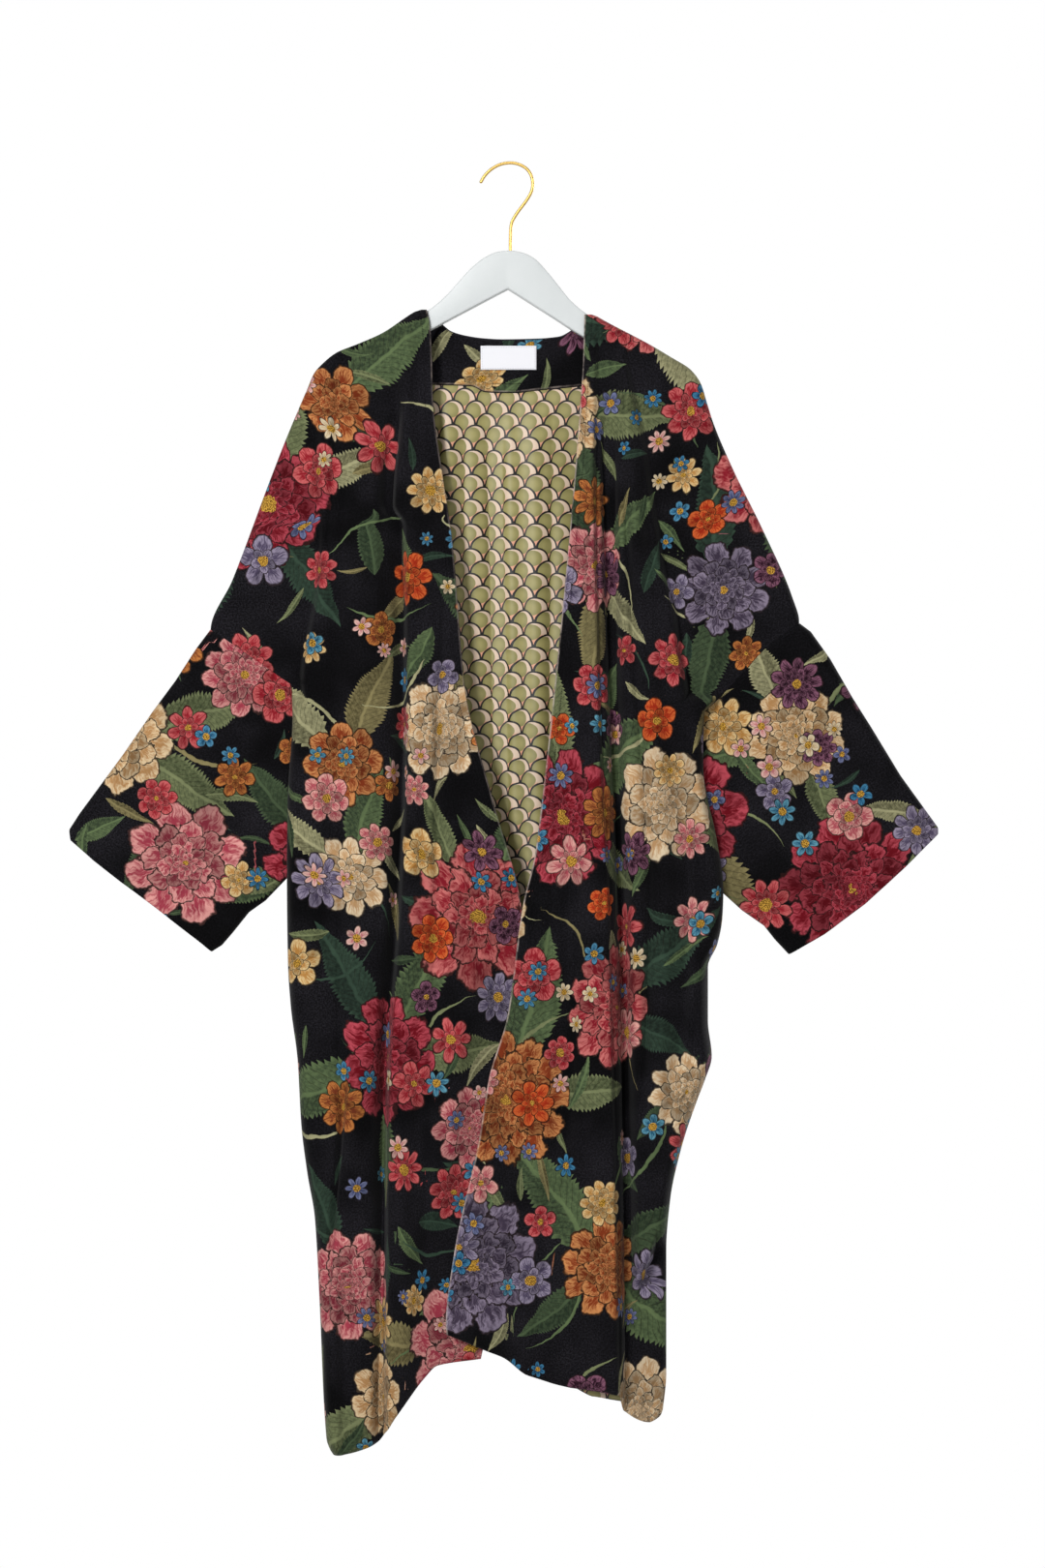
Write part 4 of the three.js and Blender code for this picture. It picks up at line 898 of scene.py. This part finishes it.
# Each panel: its name, the part's node, grid, slot, distances of its two sides from the grid,
# whether it is a ring, and the limits of its places from front to back
VELVET = (-VELVET_WALL / 2, VELVET_WALL / 2)
PANELS = [
    ("left_front", "front_left", left_grid, "velvet", *VELVET, False, None, -0.1),
    ("right_front", "front_right", right_grid, "velvet", *VELVET, False, None, -0.1),
    ("back_panel", "back", back_grid, "velvet", *VELVET, False, 0.1, None),
    ("left_lower_sleeve", "sleeve_left", left_sleeve_grid, "velvet", *VELVET, True, None, None),
    ("right_lower_sleeve", "sleeve_right", right_sleeve_grid, "velvet", *VELVET, True, None, None),
    ("back_neck_facing", "neck_facing", facing_grid, "velvet", FACING_NEAR,
     FACING_NEAR + FACING_WALL, False, None, None),
    ("back_lining", "lining", lining_grid, "lining", LINING_NEAR, LINING_NEAR + LINING_WALL, False,
     None, None),
    ("woven_label", "label", label_grid, "label", LABEL_NEAR, LABEL_NEAR + LABEL_WALL, False,
     None, None),
]
INNER_LAYERS = ("neck_facing", "lining", "label")

# How pale the edge is painted along the opening, and along the facing's lower edge
PALE_EDGE_AMOUNT = {"left_front": 0.3, "right_front": 0.85, "back_neck_facing": 0.6}

# Two vectors are written to each piece: "cloth" is the place on the flat cloth and the distance
# from its edge, and the second is 1 on the inner side, the distance from the pale edge in metres,
# and how pale that edge is painted. The print's layers write their own.
pieces = {}
for name, node, grid, slot, near, far, ring, y_low, y_high in PANELS:
    if node in INNER_LAYERS and grid_normals(grid, ring)[..., 1].mean() > 0:
        near, far = -far, -near
    piece, index = shell(name, grid, near, far, ring, y_low, y_high)
    side, down = cloth_lengths(grid)
    from_edge = side if name in ("left_front", "right_front") else grid[:, :, 2] - grid[-1:, :, 2]
    from_pale_edge = from_edge.ravel()[index] * MM if name in PALE_EDGE_AMOUNT else np.ones(len(index))
    if name in GRAIN_AT:
        start_at = np.array([np.interp(GRAIN_AT[name], *pair) if pair[0][0] < pair[0][-1]
                             else np.interp(-GRAIN_AT[name], -pair[0], pair[1])
                             for pair in zip(grid[:, :, 0], side)])
        side = (side - start_at[:, None]) * (1 if grid[0, -1, 0] > grid[0, 0, 0] else -1)
    if ring:
        side, down = sleeve_lengths(grid)
    flat = np.stack([side, down], 2).reshape(-1, 2)
    edge = edge_distance(grid, ring).reshape(-1, 1)
    write_vector(piece, "cloth", (np.concatenate([flat, edge], 1) * MM)[index])
    points = np.empty(len(index) * 3, np.float32)
    piece.data.vertices.foreach_get("co", points)
    depths = np.abs(points.reshape(2, -1, 3)[:, :, 1]).mean(1)
    reverse = np.repeat(depths < depths[::-1], len(index) // 2) & (node != "neck_facing")
    pale_amount = np.full(len(index), PALE_EDGE_AMOUNT.get(name, 0.0))
    write_vector(piece, "reverse_and_pale_edge", np.column_stack([reverse, from_pale_edge, pale_amount]))
    if name in BOUQUETS:
        for layer, motifs in print_on(name, flat).items():
            motifs.write(piece, layer, flat, index)
    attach(piece, "root")
    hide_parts(node)
    pieces[name] = piece


def tube(name, line, radius, sides, steps):
    """Round wire along a smooth curve through (across, height) points in the middle plane, closed
    by small domes at both ends."""
    points = np.array(line, float)
    padded = np.concatenate([2 * points[:1] - points[1:2], points, 2 * points[-1:] - points[-2:-1]])
    t = np.linspace(0, 1, steps, endpoint=False)[:, None]
    p0, p1, p2, p3 = (padded[i:len(padded) - 3 + i][:, None] for i in range(4))
    curve = 0.5 * (2 * p1 + (p2 - p0) * t + (2 * p0 - 5 * p1 + 4 * p2 - p3) * t ** 2
                   + (3 * p1 - p0 - 3 * p2 + p3) * t ** 3)
    curve = np.concatenate([curve.reshape(-1, 2), points[-1:]])
    direction = np.gradient(curve, axis=0)
    direction /= np.linalg.norm(direction, axis=1, keepdims=True)
    cap = np.radians([0, 15, 40, 65, 85])
    start = curve[:1] - direction[:1] * radius * np.cos(cap)[:, None]
    stop = curve[-1:] + direction[-1:] * radius * np.cos(cap[::-1])[:, None]
    centres = np.concatenate([start, curve, stop])
    first, last = np.repeat(direction[:1], len(cap), 0), np.repeat(direction[-1:], len(cap), 0)
    directions = np.concatenate([first, direction, last])
    radii = np.concatenate([np.sin(cap), np.ones(len(curve)), np.sin(cap[::-1])]) * radius
    radii = np.maximum(radii, 0.02)
    angle = np.linspace(0, 2 * np.pi, sides, endpoint=False)
    side = np.stack([-directions[:, 1], directions[:, 0]], 1)
    ring_x = centres[:, :1] + side[:, :1] * radii[:, None] * np.cos(angle)
    ring_z = centres[:, 1:] + side[:, 1:] * radii[:, None] * np.cos(angle)
    ring_y = radii[:, None] * np.sin(angle) * np.ones_like(ring_x)
    grid = np.stack([ring_x, ring_y, ring_z], 2)
    count = len(grid)
    place = np.arange(count * sides).reshape(count, sides)
    after = np.roll(place, -1, 1)
    quads = np.stack([place[:-1], after[:-1], after[1:], place[1:]], 2).reshape(-1, 4)
    return mesh_object(name, grid.reshape(-1, 3) * MM, quads)


HOOK_RADIUS = 1.65
HOOK_LINE = [(0.5, -93.5), (0.5, -78), (1.5, -62), (7, -51), (17, -37.5), (22.3, -28), (23.6, -19.5),
             (21.8, -11), (17, -4.3), (9, 0.2), (0, 1.65), (-10, 0), (-19, -4.8), (-26, -11.5), (-30, -18)]

hook = tube("wire_hook", HOOK_LINE, HOOK_RADIUS, sides=24, steps=10)
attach(hook, "root")
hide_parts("hook")

# Hanger: upper and lower lines as (across, down) pairs, along its own length
HANGER_HALF = 6
HANGER_EDGE = 2.6
HANGER_ENDS = (-193.5, 192.5)
HANGER_TOP = table(("across", "down"), [
    (-193.5, 221), (-192.5, 216), (-189, 209.5), (-175, 197.7), (-150, 187.4), (-130, 178),
    (-110, 164.9), (-96, 156.3), (-85, 151.8), (-76, 145.2), (-65, 135.2), (-53, 121.7), (-38, 105.7),
    (-25, 96), (-13, 91), (0, 89.6), (13, 91.8), (25, 97.6), (37, 109.6), (50, 125.6), (63, 141.6),
    (75, 152), (85, 158.8), (96, 165), (110, 173.5), (130, 183.6), (150, 193.6), (175, 213),
    (186, 217.4), (191, 222), (192.5, 227)])
HANGER_LOW = table(("across", "down"), [
    (-193.5, 222), (-192, 227), (-189, 230), (-184, 230), (-150, 209), (-117, 191), (-84, 173.3),
    (-40, 150), (-3.5, 130.7), (-2, 129.9), (-0.5, 130.85), (40, 156.5), (78, 180.5), (112, 197.5),
    (146, 215), (178, 235), (185, 238), (190, 234), (192.5, 228)])
HANGER_NOTCH = -2


def hanger_surface():
    """Board as rings across its length, closer together towards its ends: each ring is a rectangle
    with round corners between the upper and the lower line."""
    ease = np.sin(np.linspace(0, np.pi / 2, 96))
    left_half = lerp(HANGER_NOTCH, HANGER_ENDS[0], ease)[:0:-1]
    across = np.concatenate([left_half, lerp(HANGER_NOTCH, HANGER_ENDS[1], ease)])
    top = along(HANGER_TOP, "across", "down", across)
    low = along(HANGER_LOW, "across", "down", across)
    half = np.maximum((low - top) / 2, 0.05)
    middle = (low + top) / 2
    radius = np.minimum(HANGER_EDGE, half)
    corner = np.linspace(0, np.pi / 2, 7)
    angle = np.concatenate([corner + i * np.pi / 2 for i in range(4)])
    outward = corner.mean() + np.repeat(np.arange(4), len(corner)) * np.pi / 2
    out_y = np.sign(np.round(np.cos(outward), 6))
    out_z = np.sign(np.round(np.sin(outward), 6))
    side_y = np.minimum(HANGER_HALF, 2 + half * 2)
    ring_y = out_y * (side_y - radius)[:, None] + radius[:, None] * np.cos(angle)
    ring_z = out_z * (half - radius)[:, None] + radius[:, None] * np.sin(angle)
    return np.stack([across[:, None] * np.ones_like(ring_y), ring_y, -middle[:, None] + ring_z], 2)


def ring_object(name, rings):
    """Closed tube from rings of points, its two ends filled with one face each."""
    count, sides = rings.shape[:2]
    place = np.arange(count * sides).reshape(count, sides)
    after = np.roll(place, -1, 1)
    quads = np.stack([place[:-1], place[1:], after[1:], after[:-1]], 2).reshape(-1, 4)
    obj = mesh_object(name, rings.reshape(-1, 3) * MM, quads)
    work = bmesh.new()
    work.from_mesh(obj.data)
    bmesh.ops.holes_fill(work, edges=work.edges, sides=0)
    bmesh.ops.recalc_face_normals(work, faces=work.faces)
    work.to_mesh(obj.data)
    work.free()
    return obj


hanger = ring_object("wooden_hanger", hanger_surface())
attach(hanger, "root")
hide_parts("hanger")


class Value:
    """Output of a node: arithmetic on it adds further nodes to the same shader."""

    def __init__(self, shader, socket):
        self.shader = shader
        self.socket = socket

    def __add__(self, other):
        return self.shader.maths("ADD", self, other)

    def __sub__(self, other):
        return self.shader.maths("SUBTRACT", self, other)

    def __rsub__(self, other):
        return self.shader.maths("SUBTRACT", other, self)

    def __mul__(self, other):
        return self.shader.maths("MULTIPLY", self, other)

    def __truediv__(self, other):
        return self.shader.maths("DIVIDE", self, other)

    def __abs__(self):
        return self.shader.maths("ABSOLUTE", self)

    def __gt__(self, other):
        return self.shader.maths("GREATER_THAN", self, other)

    def __lt__(self, other):
        return self.shader.maths("LESS_THAN", self, other)


class Shader:
    """A material or the world while its nodes are made."""

    def __init__(self, owner, surface="Principled BSDF"):
        self.owner = owner
        owner.use_nodes = True
        self.tree = owner.node_tree
        self.surface = self.tree.nodes[surface]

    def join(self, socket, value):
        """Links an output to a socket, or sets the socket to a number or a colour."""
        if isinstance(value, Value):
            self.tree.links.new(value.socket, socket)
        else:
            socket.default_value = value

    def add(self, kind, inputs=(), output=0, **settings):
        """Adds a node with its settings and inputs, and gives one of its outputs."""
        new = self.tree.nodes.new(kind)
        for key, value in settings.items():
            setattr(new, key, value)
        for key, value in dict(inputs).items():
            self.join(new.inputs[key], value)
        return Value(self, new.outputs[output])

    def finish(self, **inputs):
        """Sets the surface's inputs and gives the finished material or world."""
        for key, value in inputs.items():
            self.join(self.surface.inputs[key.replace("_", " ").title().replace("Ior", "IOR")], value)
        return self.owner

    def maths(self, operation, *values):
        """Result of one operation on numbers."""
        return self.add("ShaderNodeMath", enumerate(values), operation=operation)

    def vectors(self, operation, *values):
        """Result of one operation on vectors."""
        return self.add("ShaderNodeVectorMath", enumerate(values), operation=operation)

    def vector(self, *values):
        """Vector of three numbers."""
        return self.add("ShaderNodeCombineXYZ", enumerate(values))

    def parts(self, vector):
        """The three numbers of a vector."""
        first = self.add("ShaderNodeSeparateXYZ", {0: vector})
        return [Value(self, output) for output in first.socket.node.outputs]

    def length(self, x, y):
        """Distance of a place from the middle."""
        return self.add("ShaderNodeVectorMath", {0: self.vector(x, y, 0.0)}, "Value", operation="LENGTH")

    def stored(self, name):
        """Vector attribute of the mesh."""
        return self.add("ShaderNodeAttribute", output="Vector", attribute_name=name)

    def mix(self, factor, a, b, kind="MIX"):
        """Colour between two colours, or their product where the kind is MULTIPLY."""
        colours = [(*c, 1) if isinstance(c, tuple) and len(c) == 3 else c for c in (a, b)]
        return self.add("ShaderNodeMix", {0: factor, 6: colours[0], 7: colours[1]}, 2, data_type="RGBA",
                        blend_type=kind, clamp_factor=True)

    def ramp(self, value, low, high, start=0.0, stop=1.0):
        """Smooth step of a value between two limits, or a falling one where low is over high."""
        if low > high:
            low, high, start, stop = high, low, stop, start
        return self.add("ShaderNodeMapRange", {0: value, 1: low, 2: high, 3: start, 4: stop},
                        interpolation_type="SMOOTHSTEP")

    def noise(self, place, scale, detail=2.0, roughness=0.5, output="Fac"):
        """Soft noise, its scale in cells to a unit of the place."""
        return self.add("ShaderNodeTexNoise", {"Vector": place, "Scale": scale, "Detail": detail,
                                               "Roughness": roughness}, output)

    def stirred(self, place, cloth, scale, amount):
        """A place moved about by a noise on the cloth, by half the amount at most."""
        offset = self.vectors("SUBTRACT", self.noise(cloth, scale, output="Color"), (0.5, 0.5, 0.5))
        moved = self.add("ShaderNodeVectorMath", {0: offset, "Scale": amount}, operation="SCALE")
        return self.vectors("ADD", place, moved)

    def relief(self, height, distance, strength):
        """Normal of a surface with a fine relief, its height in metres."""
        return self.add("ShaderNodeBump", {"Height": height, "Distance": distance, "Strength": strength})

    def scales(self, x, y):
        """Half-drop rows of round scales, 2 wide and 1 apart, lower rows in front. Gives the
        distance from the scale's middle, the place in it, its row and a random number for it."""
        row = self.maths("FLOOR", y)
        odd = self.maths("FLOORED_MODULO", row, 2.0)
        up = y - row
        here = self.maths("WRAP", x - odd, 1.0, -1.0)
        above = self.maths("WRAP", x - odd + 1.0, 1.0, -1.0)
        first = self.vector(here, up, row)
        second = self.vector(above, up - 1.0, row + 1.0)
        behind = self.length(here, up) > 1.0
        chosen = self.add("ShaderNodeMix", {0: behind, 4: first, 5: second}, 1, data_type="VECTOR")
        across, up, number = self.parts(chosen)
        centre = self.maths("ROUND", x - across)
        lot = self.add("ShaderNodeTexWhiteNoise", {0: self.vector(centre, number, 0.0)}, "Value",
                       noise_dimensions="3D")
        return self.length(across, up), across, up, number, lot


# Scales of noises are in cells to a metre of cloth; amounts are shares of a motif's half size
INK = linear("1c1210")
POLLEN = (linear("5a3a14"), linear("e2b04a"))
FLOWER_WAVE = (70.0, 0.24)
FLOWER_RUFFLE = (320.0, 0.045)
SMALLEST_RING = 0.02
PETAL_STREAK = 2.6
STREAKS_ACROSS = 4.0
STREAK_SCALE = 2.2
PETAL_INK = (0.85, 0.95)
DARKEST_PETAL = 0.55
SPECK_SCALE = 900.0
LEAF_WAVE = (50.0, 0.16)
LEAF_SWELL = 0.45
LEAF_TOOTH = 0.2
TEETH_TO_A_VEIN = 1.5
VEIN_SLANT = 0.9
PALE_HALF = 0.28
MOTTLE_SCALE = 260.0
LEAF_INK = 0.55


def flower_layer(sh, name, cloth, under):
    """Flowers of a layer over what is under them: rows of scales in the angle and the logarithm of
    the radius, so petals shrink to the middle, with pale tips, deep hearts and inked edges."""
    place = sh.stored(name + "_place")
    margin = sh.parts(place)[2]
    x, y, _ = sh.parts(sh.stirred(sh.stirred(place, cloth, *FLOWER_WAVE), cloth, *FLOWER_RUFFLE))
    petals, rings, heart = sh.parts(sh.stored(name + "_form"))
    radius = sh.maths("SQRT", x * x + y * y)
    u = sh.maths("ARCTAN2", y, x) * petals / math.pi
    v = rings * sh.maths("LOGARITHM", sh.maths("MAXIMUM", radius, SMALLEST_RING), math.e)
    distance, _, _, row, lot = sh.scales(u, v)
    streak = sh.noise(sh.vector(u * STREAKS_ACROSS, v, lot), STREAK_SCALE, 3.0)
    tone = sh.ramp(distance + (streak - 0.5) * PETAL_STREAK, 0.1, 1.1)
    colour = sh.mix(tone, sh.stored(name + "_base"), sh.stored(name + "_tip"))
    colour = sh.mix(sh.ramp(lot, 0, 1, 0.0, DARKEST_PETAL), colour, (0.0, 0.0, 0.0))
    colour = sh.mix(sh.ramp(distance, *PETAL_INK, 0.0, 0.95), colour, INK)
    speck = sh.ramp(sh.noise(cloth, SPECK_SCALE, 1.0), 0.4, 0.6)
    colour = sh.mix(radius < heart, colour, sh.mix(speck, *POLLEN))
    return sh.mix((row < -0.5) * (margin > 0.0), under, colour)


def leaf_layer(sh, name, cloth, under):
    """Leaves of a layer over what is under them: a width that swells and tapers along the midrib,
    toothed edges, slanting veins and one half paler than the other."""
    place = sh.stored(name + "_place")
    margin = sh.parts(place)[2]
    x, y, _ = sh.parts(sh.stirred(place, cloth, *LEAF_WAVE))
    width, bend, veins = sh.parts(sh.stored(name + "_form"))
    pale = sh.stored(name + "_tip")
    y = y - bend * (x * x - 0.4)
    side = abs(y)
    taper = 1.0 - x * x
    swell = 1.0 - x * LEAF_SWELL
    slant = veins * (x - side * VEIN_SLANT)
    tooth = sh.maths("FRACT", slant * TEETH_TO_A_VEIN)
    reach = taper * swell * (width * (1.08 - tooth * LEAF_TOOTH))
    share = side / sh.maths("MAXIMUM", reach, 0.001)
    vein = sh.maths("PINGPONG", slant, 0.5)
    mottle = sh.noise(cloth, MOTTLE_SCALE, 3.0, 0.65)
    light = (y > 0.0) * PALE_HALF + sh.ramp(mottle, 0.32, 0.72, 0.0, 0.5)
    colour = sh.mix(light, sh.stored(name + "_base"), pale)
    colour = sh.mix(sh.ramp(vein, 0.1, 0.0, 0.0, LEAF_INK), colour, INK)
    colour = sh.mix(sh.ramp(side, 0.045, 0.015, 0.0, 0.8), colour, pale)
    colour = sh.mix(sh.ramp(share, 0.82, 0.98, 0.0, 0.6), colour, pale)
    return sh.mix((share < 1.0) * (margin > 0.0) * (taper > 0.0), under, colour)


# Velvet: its colours, scales of its noises in cells to a metre of cloth, and heights and widths of
# the nap, the pale edge and the topstitching in metres
GROUND = (linear("0b0a0d"), linear("2d2c33"))
REVERSE_SIDE = linear("232227")
PALE_EDGE_COLOUR = linear("a89a92")
THREAD = linear("0b0a0c")
WASHES = ((0.3, 0.3, 0.3), (0.72, 0.7, 0.66))
NAP_SCALE = 1400.0
FLECK_SCALE = 600.0
PATCH_SCALE = 60.0
WASH_SCALE = 24.0
PAINTED_NAP_SHADE_SCALE = 6.0
NAP_HEIGHT = 0.0006
PALE_EDGE = 0.0022
TOPSTITCH_IN = 0.0082
TOPSTITCH_HALF = 0.0005
TOPSTITCH_DIP = 0.0014
STITCHES_IN_A_METRE = 400.0


def velvet_material():
    """Printed velvet: near-black ground with painted shade in large random patches, the print over it,
    a pale edge painted along the opening, a line of topstitching, and a soft nap with a dark sheen."""
    sh = Shader(bpy.data.materials.new("printed_velvet"))
    side, down, _ = sh.parts(sh.stored("cloth"))
    flat = sh.vector(side, down, 0.0)
    fleck = sh.noise(flat, FLECK_SCALE, 2.0, 0.7)
    colour = sh.mix(sh.ramp(fleck, 0.35, 0.75), *GROUND)
    # Painted shade: the ground is darkened in large random patches, standing in for the way light falls on
    # the folds and the nap
    painted_nap_shade = sh.ramp(sh.noise(flat, PAINTED_NAP_SHADE_SCALE, 3.0, 0.55), 0.36, 0.62, 0.22, 1.05)
    colour = sh.mix(1.0, colour, painted_nap_shade, "MULTIPLY")
    for layer in ("leaf", "spray"):
        colour = leaf_layer(sh, layer, flat, colour)
    for layer in ("large", "middle", "small"):
        colour = flower_layer(sh, layer, flat, colour)
    wash = sh.noise(flat, WASH_SCALE, 4.0, 0.6)
    colour = sh.mix(1.0, colour, sh.mix(wash, *WASHES), "MULTIPLY")
    reverse, from_edge, pale_edge_amount = sh.parts(sh.stored("reverse_and_pale_edge"))
    colour = sh.mix(reverse, colour, REVERSE_SIDE)
    # Pale edge painted along the opening and the facing's lower edge, uneven in patches
    patches = sh.ramp(sh.noise(flat, PATCH_SCALE, 4.0, 0.7), 0.35, 0.65, 0.1, 0.75)
    pale = sh.ramp(from_edge, PALE_EDGE, PALE_EDGE * 0.3) * patches
    colour = sh.mix(pale * pale_edge_amount, colour, PALE_EDGE_COLOUR)
    off_line = abs(from_edge - TOPSTITCH_IN)
    dash = sh.maths("FRACT", down * STITCHES_IN_A_METRE) > 0.35
    colour = sh.mix((off_line < TOPSTITCH_HALF) * dash * 0.6, colour, THREAD)
    nap = sh.noise(flat, NAP_SCALE, 2.0, 0.6)
    height = nap * 0.5 + sh.ramp(off_line, 0.0, TOPSTITCH_DIP)
    return sh.finish(base_color=colour, roughness=0.95, sheen_weight=0.06, sheen_roughness=0.4,
                     specular_ior_level=0.06, normal=sh.relief(height, NAP_HEIGHT, 0.6))


# Lining's scales: half width and row height in metres, and the disc's place and size in the scale
SCALE_HALF = 0.012
SCALE_ROW = 0.0128
DISC_MIDDLE = (-0.24, 0.13)
DISC_HALF = (0.68, 0.65)
OUTLINE = (0.84, 0.87)
LINING_SHADE = (0.63, 0.63, 0.63)
WEAVE_SCALE = 1800.0


def lining_material():
    """Smooth lining printed with rows of scales: black outline, green disc, pale crescent."""
    sh = Shader(bpy.data.materials.new("printed_lining"))
    side, down, _ = sh.parts(sh.stored("cloth"))
    distance, across, up, _, _ = sh.scales(side / SCALE_HALF, down / -SCALE_ROW)
    disc = sh.length((across - DISC_MIDDLE[0]) / DISC_HALF[0], (up - DISC_MIDDLE[1]) / DISC_HALF[1])
    crescent = sh.mix(sh.ramp(up + across * 0.35, -0.1, 0.3), linear("dc9f80"), linear("dcc3ac"))
    green = sh.mix(sh.ramp(disc, 0.2, 1.0), linear("a09860"), linear("8c8651"))
    colour = sh.mix(sh.ramp(disc, 0.97, 1.03), green, crescent)
    colour = sh.mix(sh.ramp(distance, *OUTLINE), colour, linear("0d0a09"))
    colour = sh.mix(1.0, colour, LINING_SHADE, "MULTIPLY")
    weave = sh.noise(sh.vector(side, down, 0.0), WEAVE_SCALE, 1.0)
    return sh.finish(base_color=colour, roughness=0.5, specular_ior_level=0.3,
                     normal=sh.relief(weave, 0.0002, 0.4))


# Label: threads and stitches as turns of a sine in a metre, and the stitched line in metres
LABEL_THREADS = 9000.0
LABEL_STITCHES = 2400.0
LABEL_LINE_IN = 0.0016
LABEL_LINE_HALF = 0.0003


def label_material():
    """White woven ribbon with a fine weave and a stitched edge."""
    sh = Shader(bpy.data.materials.new("woven_label"))
    side, down, edge = sh.parts(sh.stored("cloth"))
    weave = sh.maths("SINE", down * LABEL_THREADS)
    dash = sh.maths("SINE", (side + down) * LABEL_STITCHES) > -0.2
    line = abs(edge - LABEL_LINE_IN) < LABEL_LINE_HALF
    colour = sh.mix(line * dash, linear("c2c2c6"), linear("a2a2a8"))
    return sh.finish(base_color=colour, roughness=0.6, sheen_weight=0.15,
                     normal=sh.relief(weave, 0.0001, 0.3))


def uneven_colour(sh, scale, detail, one, other):
    """Noise over the object, and a colour that runs between two with it."""
    place = sh.add("ShaderNodeTexCoord", output="Object")
    uneven = sh.noise(place, scale, detail)
    return uneven, sh.mix(uneven, linear(one), linear(other))


def wood_material():
    """Satin paint over wood, very slightly uneven."""
    sh = Shader(bpy.data.materials.new("painted_wood"))
    uneven, colour = uneven_colour(sh, 60.0, 3.0, "aaaeae", "b1b4b4")
    return sh.finish(base_color=colour, roughness=0.38, coat_weight=0.25,
                     normal=sh.relief(uneven, 0.0004, 0.2))


def wire_material():
    """Brass-plated wire, satin and slightly uneven in colour."""
    sh = Shader(bpy.data.materials.new("brass_wire"))
    _, colour = uneven_colour(sh, 40.0, 2.0, "cba85c", "d6b670")
    return sh.finish(base_color=colour, metallic=1.0, roughness=0.5)


def floor_material():
    """Plain pale floor."""
    sh = Shader(bpy.data.materials.new("studio_floor"))
    return sh.finish(base_color=(0.62, 0.62, 0.62, 1), roughness=0.8)


materials = {"velvet": velvet_material(), "lining": lining_material(), "label": label_material()}
for name, _, _, slot, *_ in PANELS:
    pieces[name].data.materials.append(materials[slot])
hanger.data.materials.append(wood_material())
hook.data.materials.append(wire_material())

# Camera, as far from the cloth as makes a frame of 1620 mm tall; places are in metres from here on
PHOTO_HEIGHT = 1.62
SENSOR = 36
DISTANCE = 4.0
CLOTH_PLANE = -0.012
FRAME_MIDDLE = (0.013, -0.642)
camera_data = bpy.data.cameras.new("camera")
camera_data.sensor_fit = "VERTICAL"
camera_data.sensor_height = SENSOR
camera_data.lens = SENSOR * DISTANCE / PHOTO_HEIGHT
camera = bpy.data.objects.new("camera", camera_data)
camera.location = (FRAME_MIDDLE[0], CLOTH_PLANE - DISTANCE, FRAME_MIDDLE[1])
camera.rotation_euler = (math.radians(90), 0, 0)
bpy.context.scene.collection.objects.link(camera)
bpy.context.scene.camera = camera

# Lights: place, point they face, width and height, and power in watts
LIGHTS = {
    "key": ((-1.7, -3.3, 0.6), (0, 0, -0.6), (0.8, 0.8), 170),
    "fill": ((2.4, -2.2, -0.2), (0, 0, -0.7), (1.6, 2.4), 8),
    "top": ((0.2, -0.8, 1.7), (0, 0, -0.5), (1.4, 0.8), 12),
    "behind": ((2.9, 1.9, 0.5), (0, 0, -0.6), (0.7, 0.7), 110),
}
for name, (place, aim, size, power) in LIGHTS.items():
    light = bpy.data.lights.new(name, "AREA")
    light.shape = "RECTANGLE"
    light.size, light.size_y = size
    light.energy = power
    lamp = bpy.data.objects.new(name, light)
    way = np.array(aim) - np.array(place)
    lamp.location = place
    lamp.rotation_euler = (math.atan2(math.hypot(way[0], way[1]), -way[2]), 0, math.atan2(-way[0], way[1]))
    bpy.context.scene.collection.objects.link(lamp)

# Studio walls all round: white behind the cloth, greyer in front of it and darker at the sides
WORLD_BEHIND = 1.0
WORLD_FRONT = 0.62
WORLD_SIDES = 0.2
WALL_STARTS, WALL_FULL = 0.1, 0.95
studio = Shader(bpy.data.worlds.new("studio"), "Background")
backwards = studio.parts(studio.add("ShaderNodeTexCoord", output="Generated"))[1]
behind_wall = studio.ramp(backwards, WALL_STARTS, WALL_FULL, WORLD_SIDES, WORLD_BEHIND)
front_wall = studio.ramp(backwards * -1.0, WALL_STARTS, WALL_FULL, 0.0, WORLD_FRONT - WORLD_SIDES)
bpy.context.scene.world = studio.finish(color=(1, 1, 1, 1), strength=behind_wall + front_wall)
bpy.context.scene.view_settings.view_transform = "Standard"

# Floor, as its left, near, right and far edges
FLOOR_DOWN = 1.72
FLOOR_SIDES = (-1.6, -1.2, 1.6, 1.0)
left, near, right, far = FLOOR_SIDES
floor_corners = ((left, near), (right, near), (right, far), (left, far))
floor_points = np.array([(x, y, -FLOOR_DOWN) for x, y in floor_corners])
floor = mesh_object("studio_floor", floor_points, np.array([[0, 1, 2, 3]]))
floor.data.materials.append(floor_material())
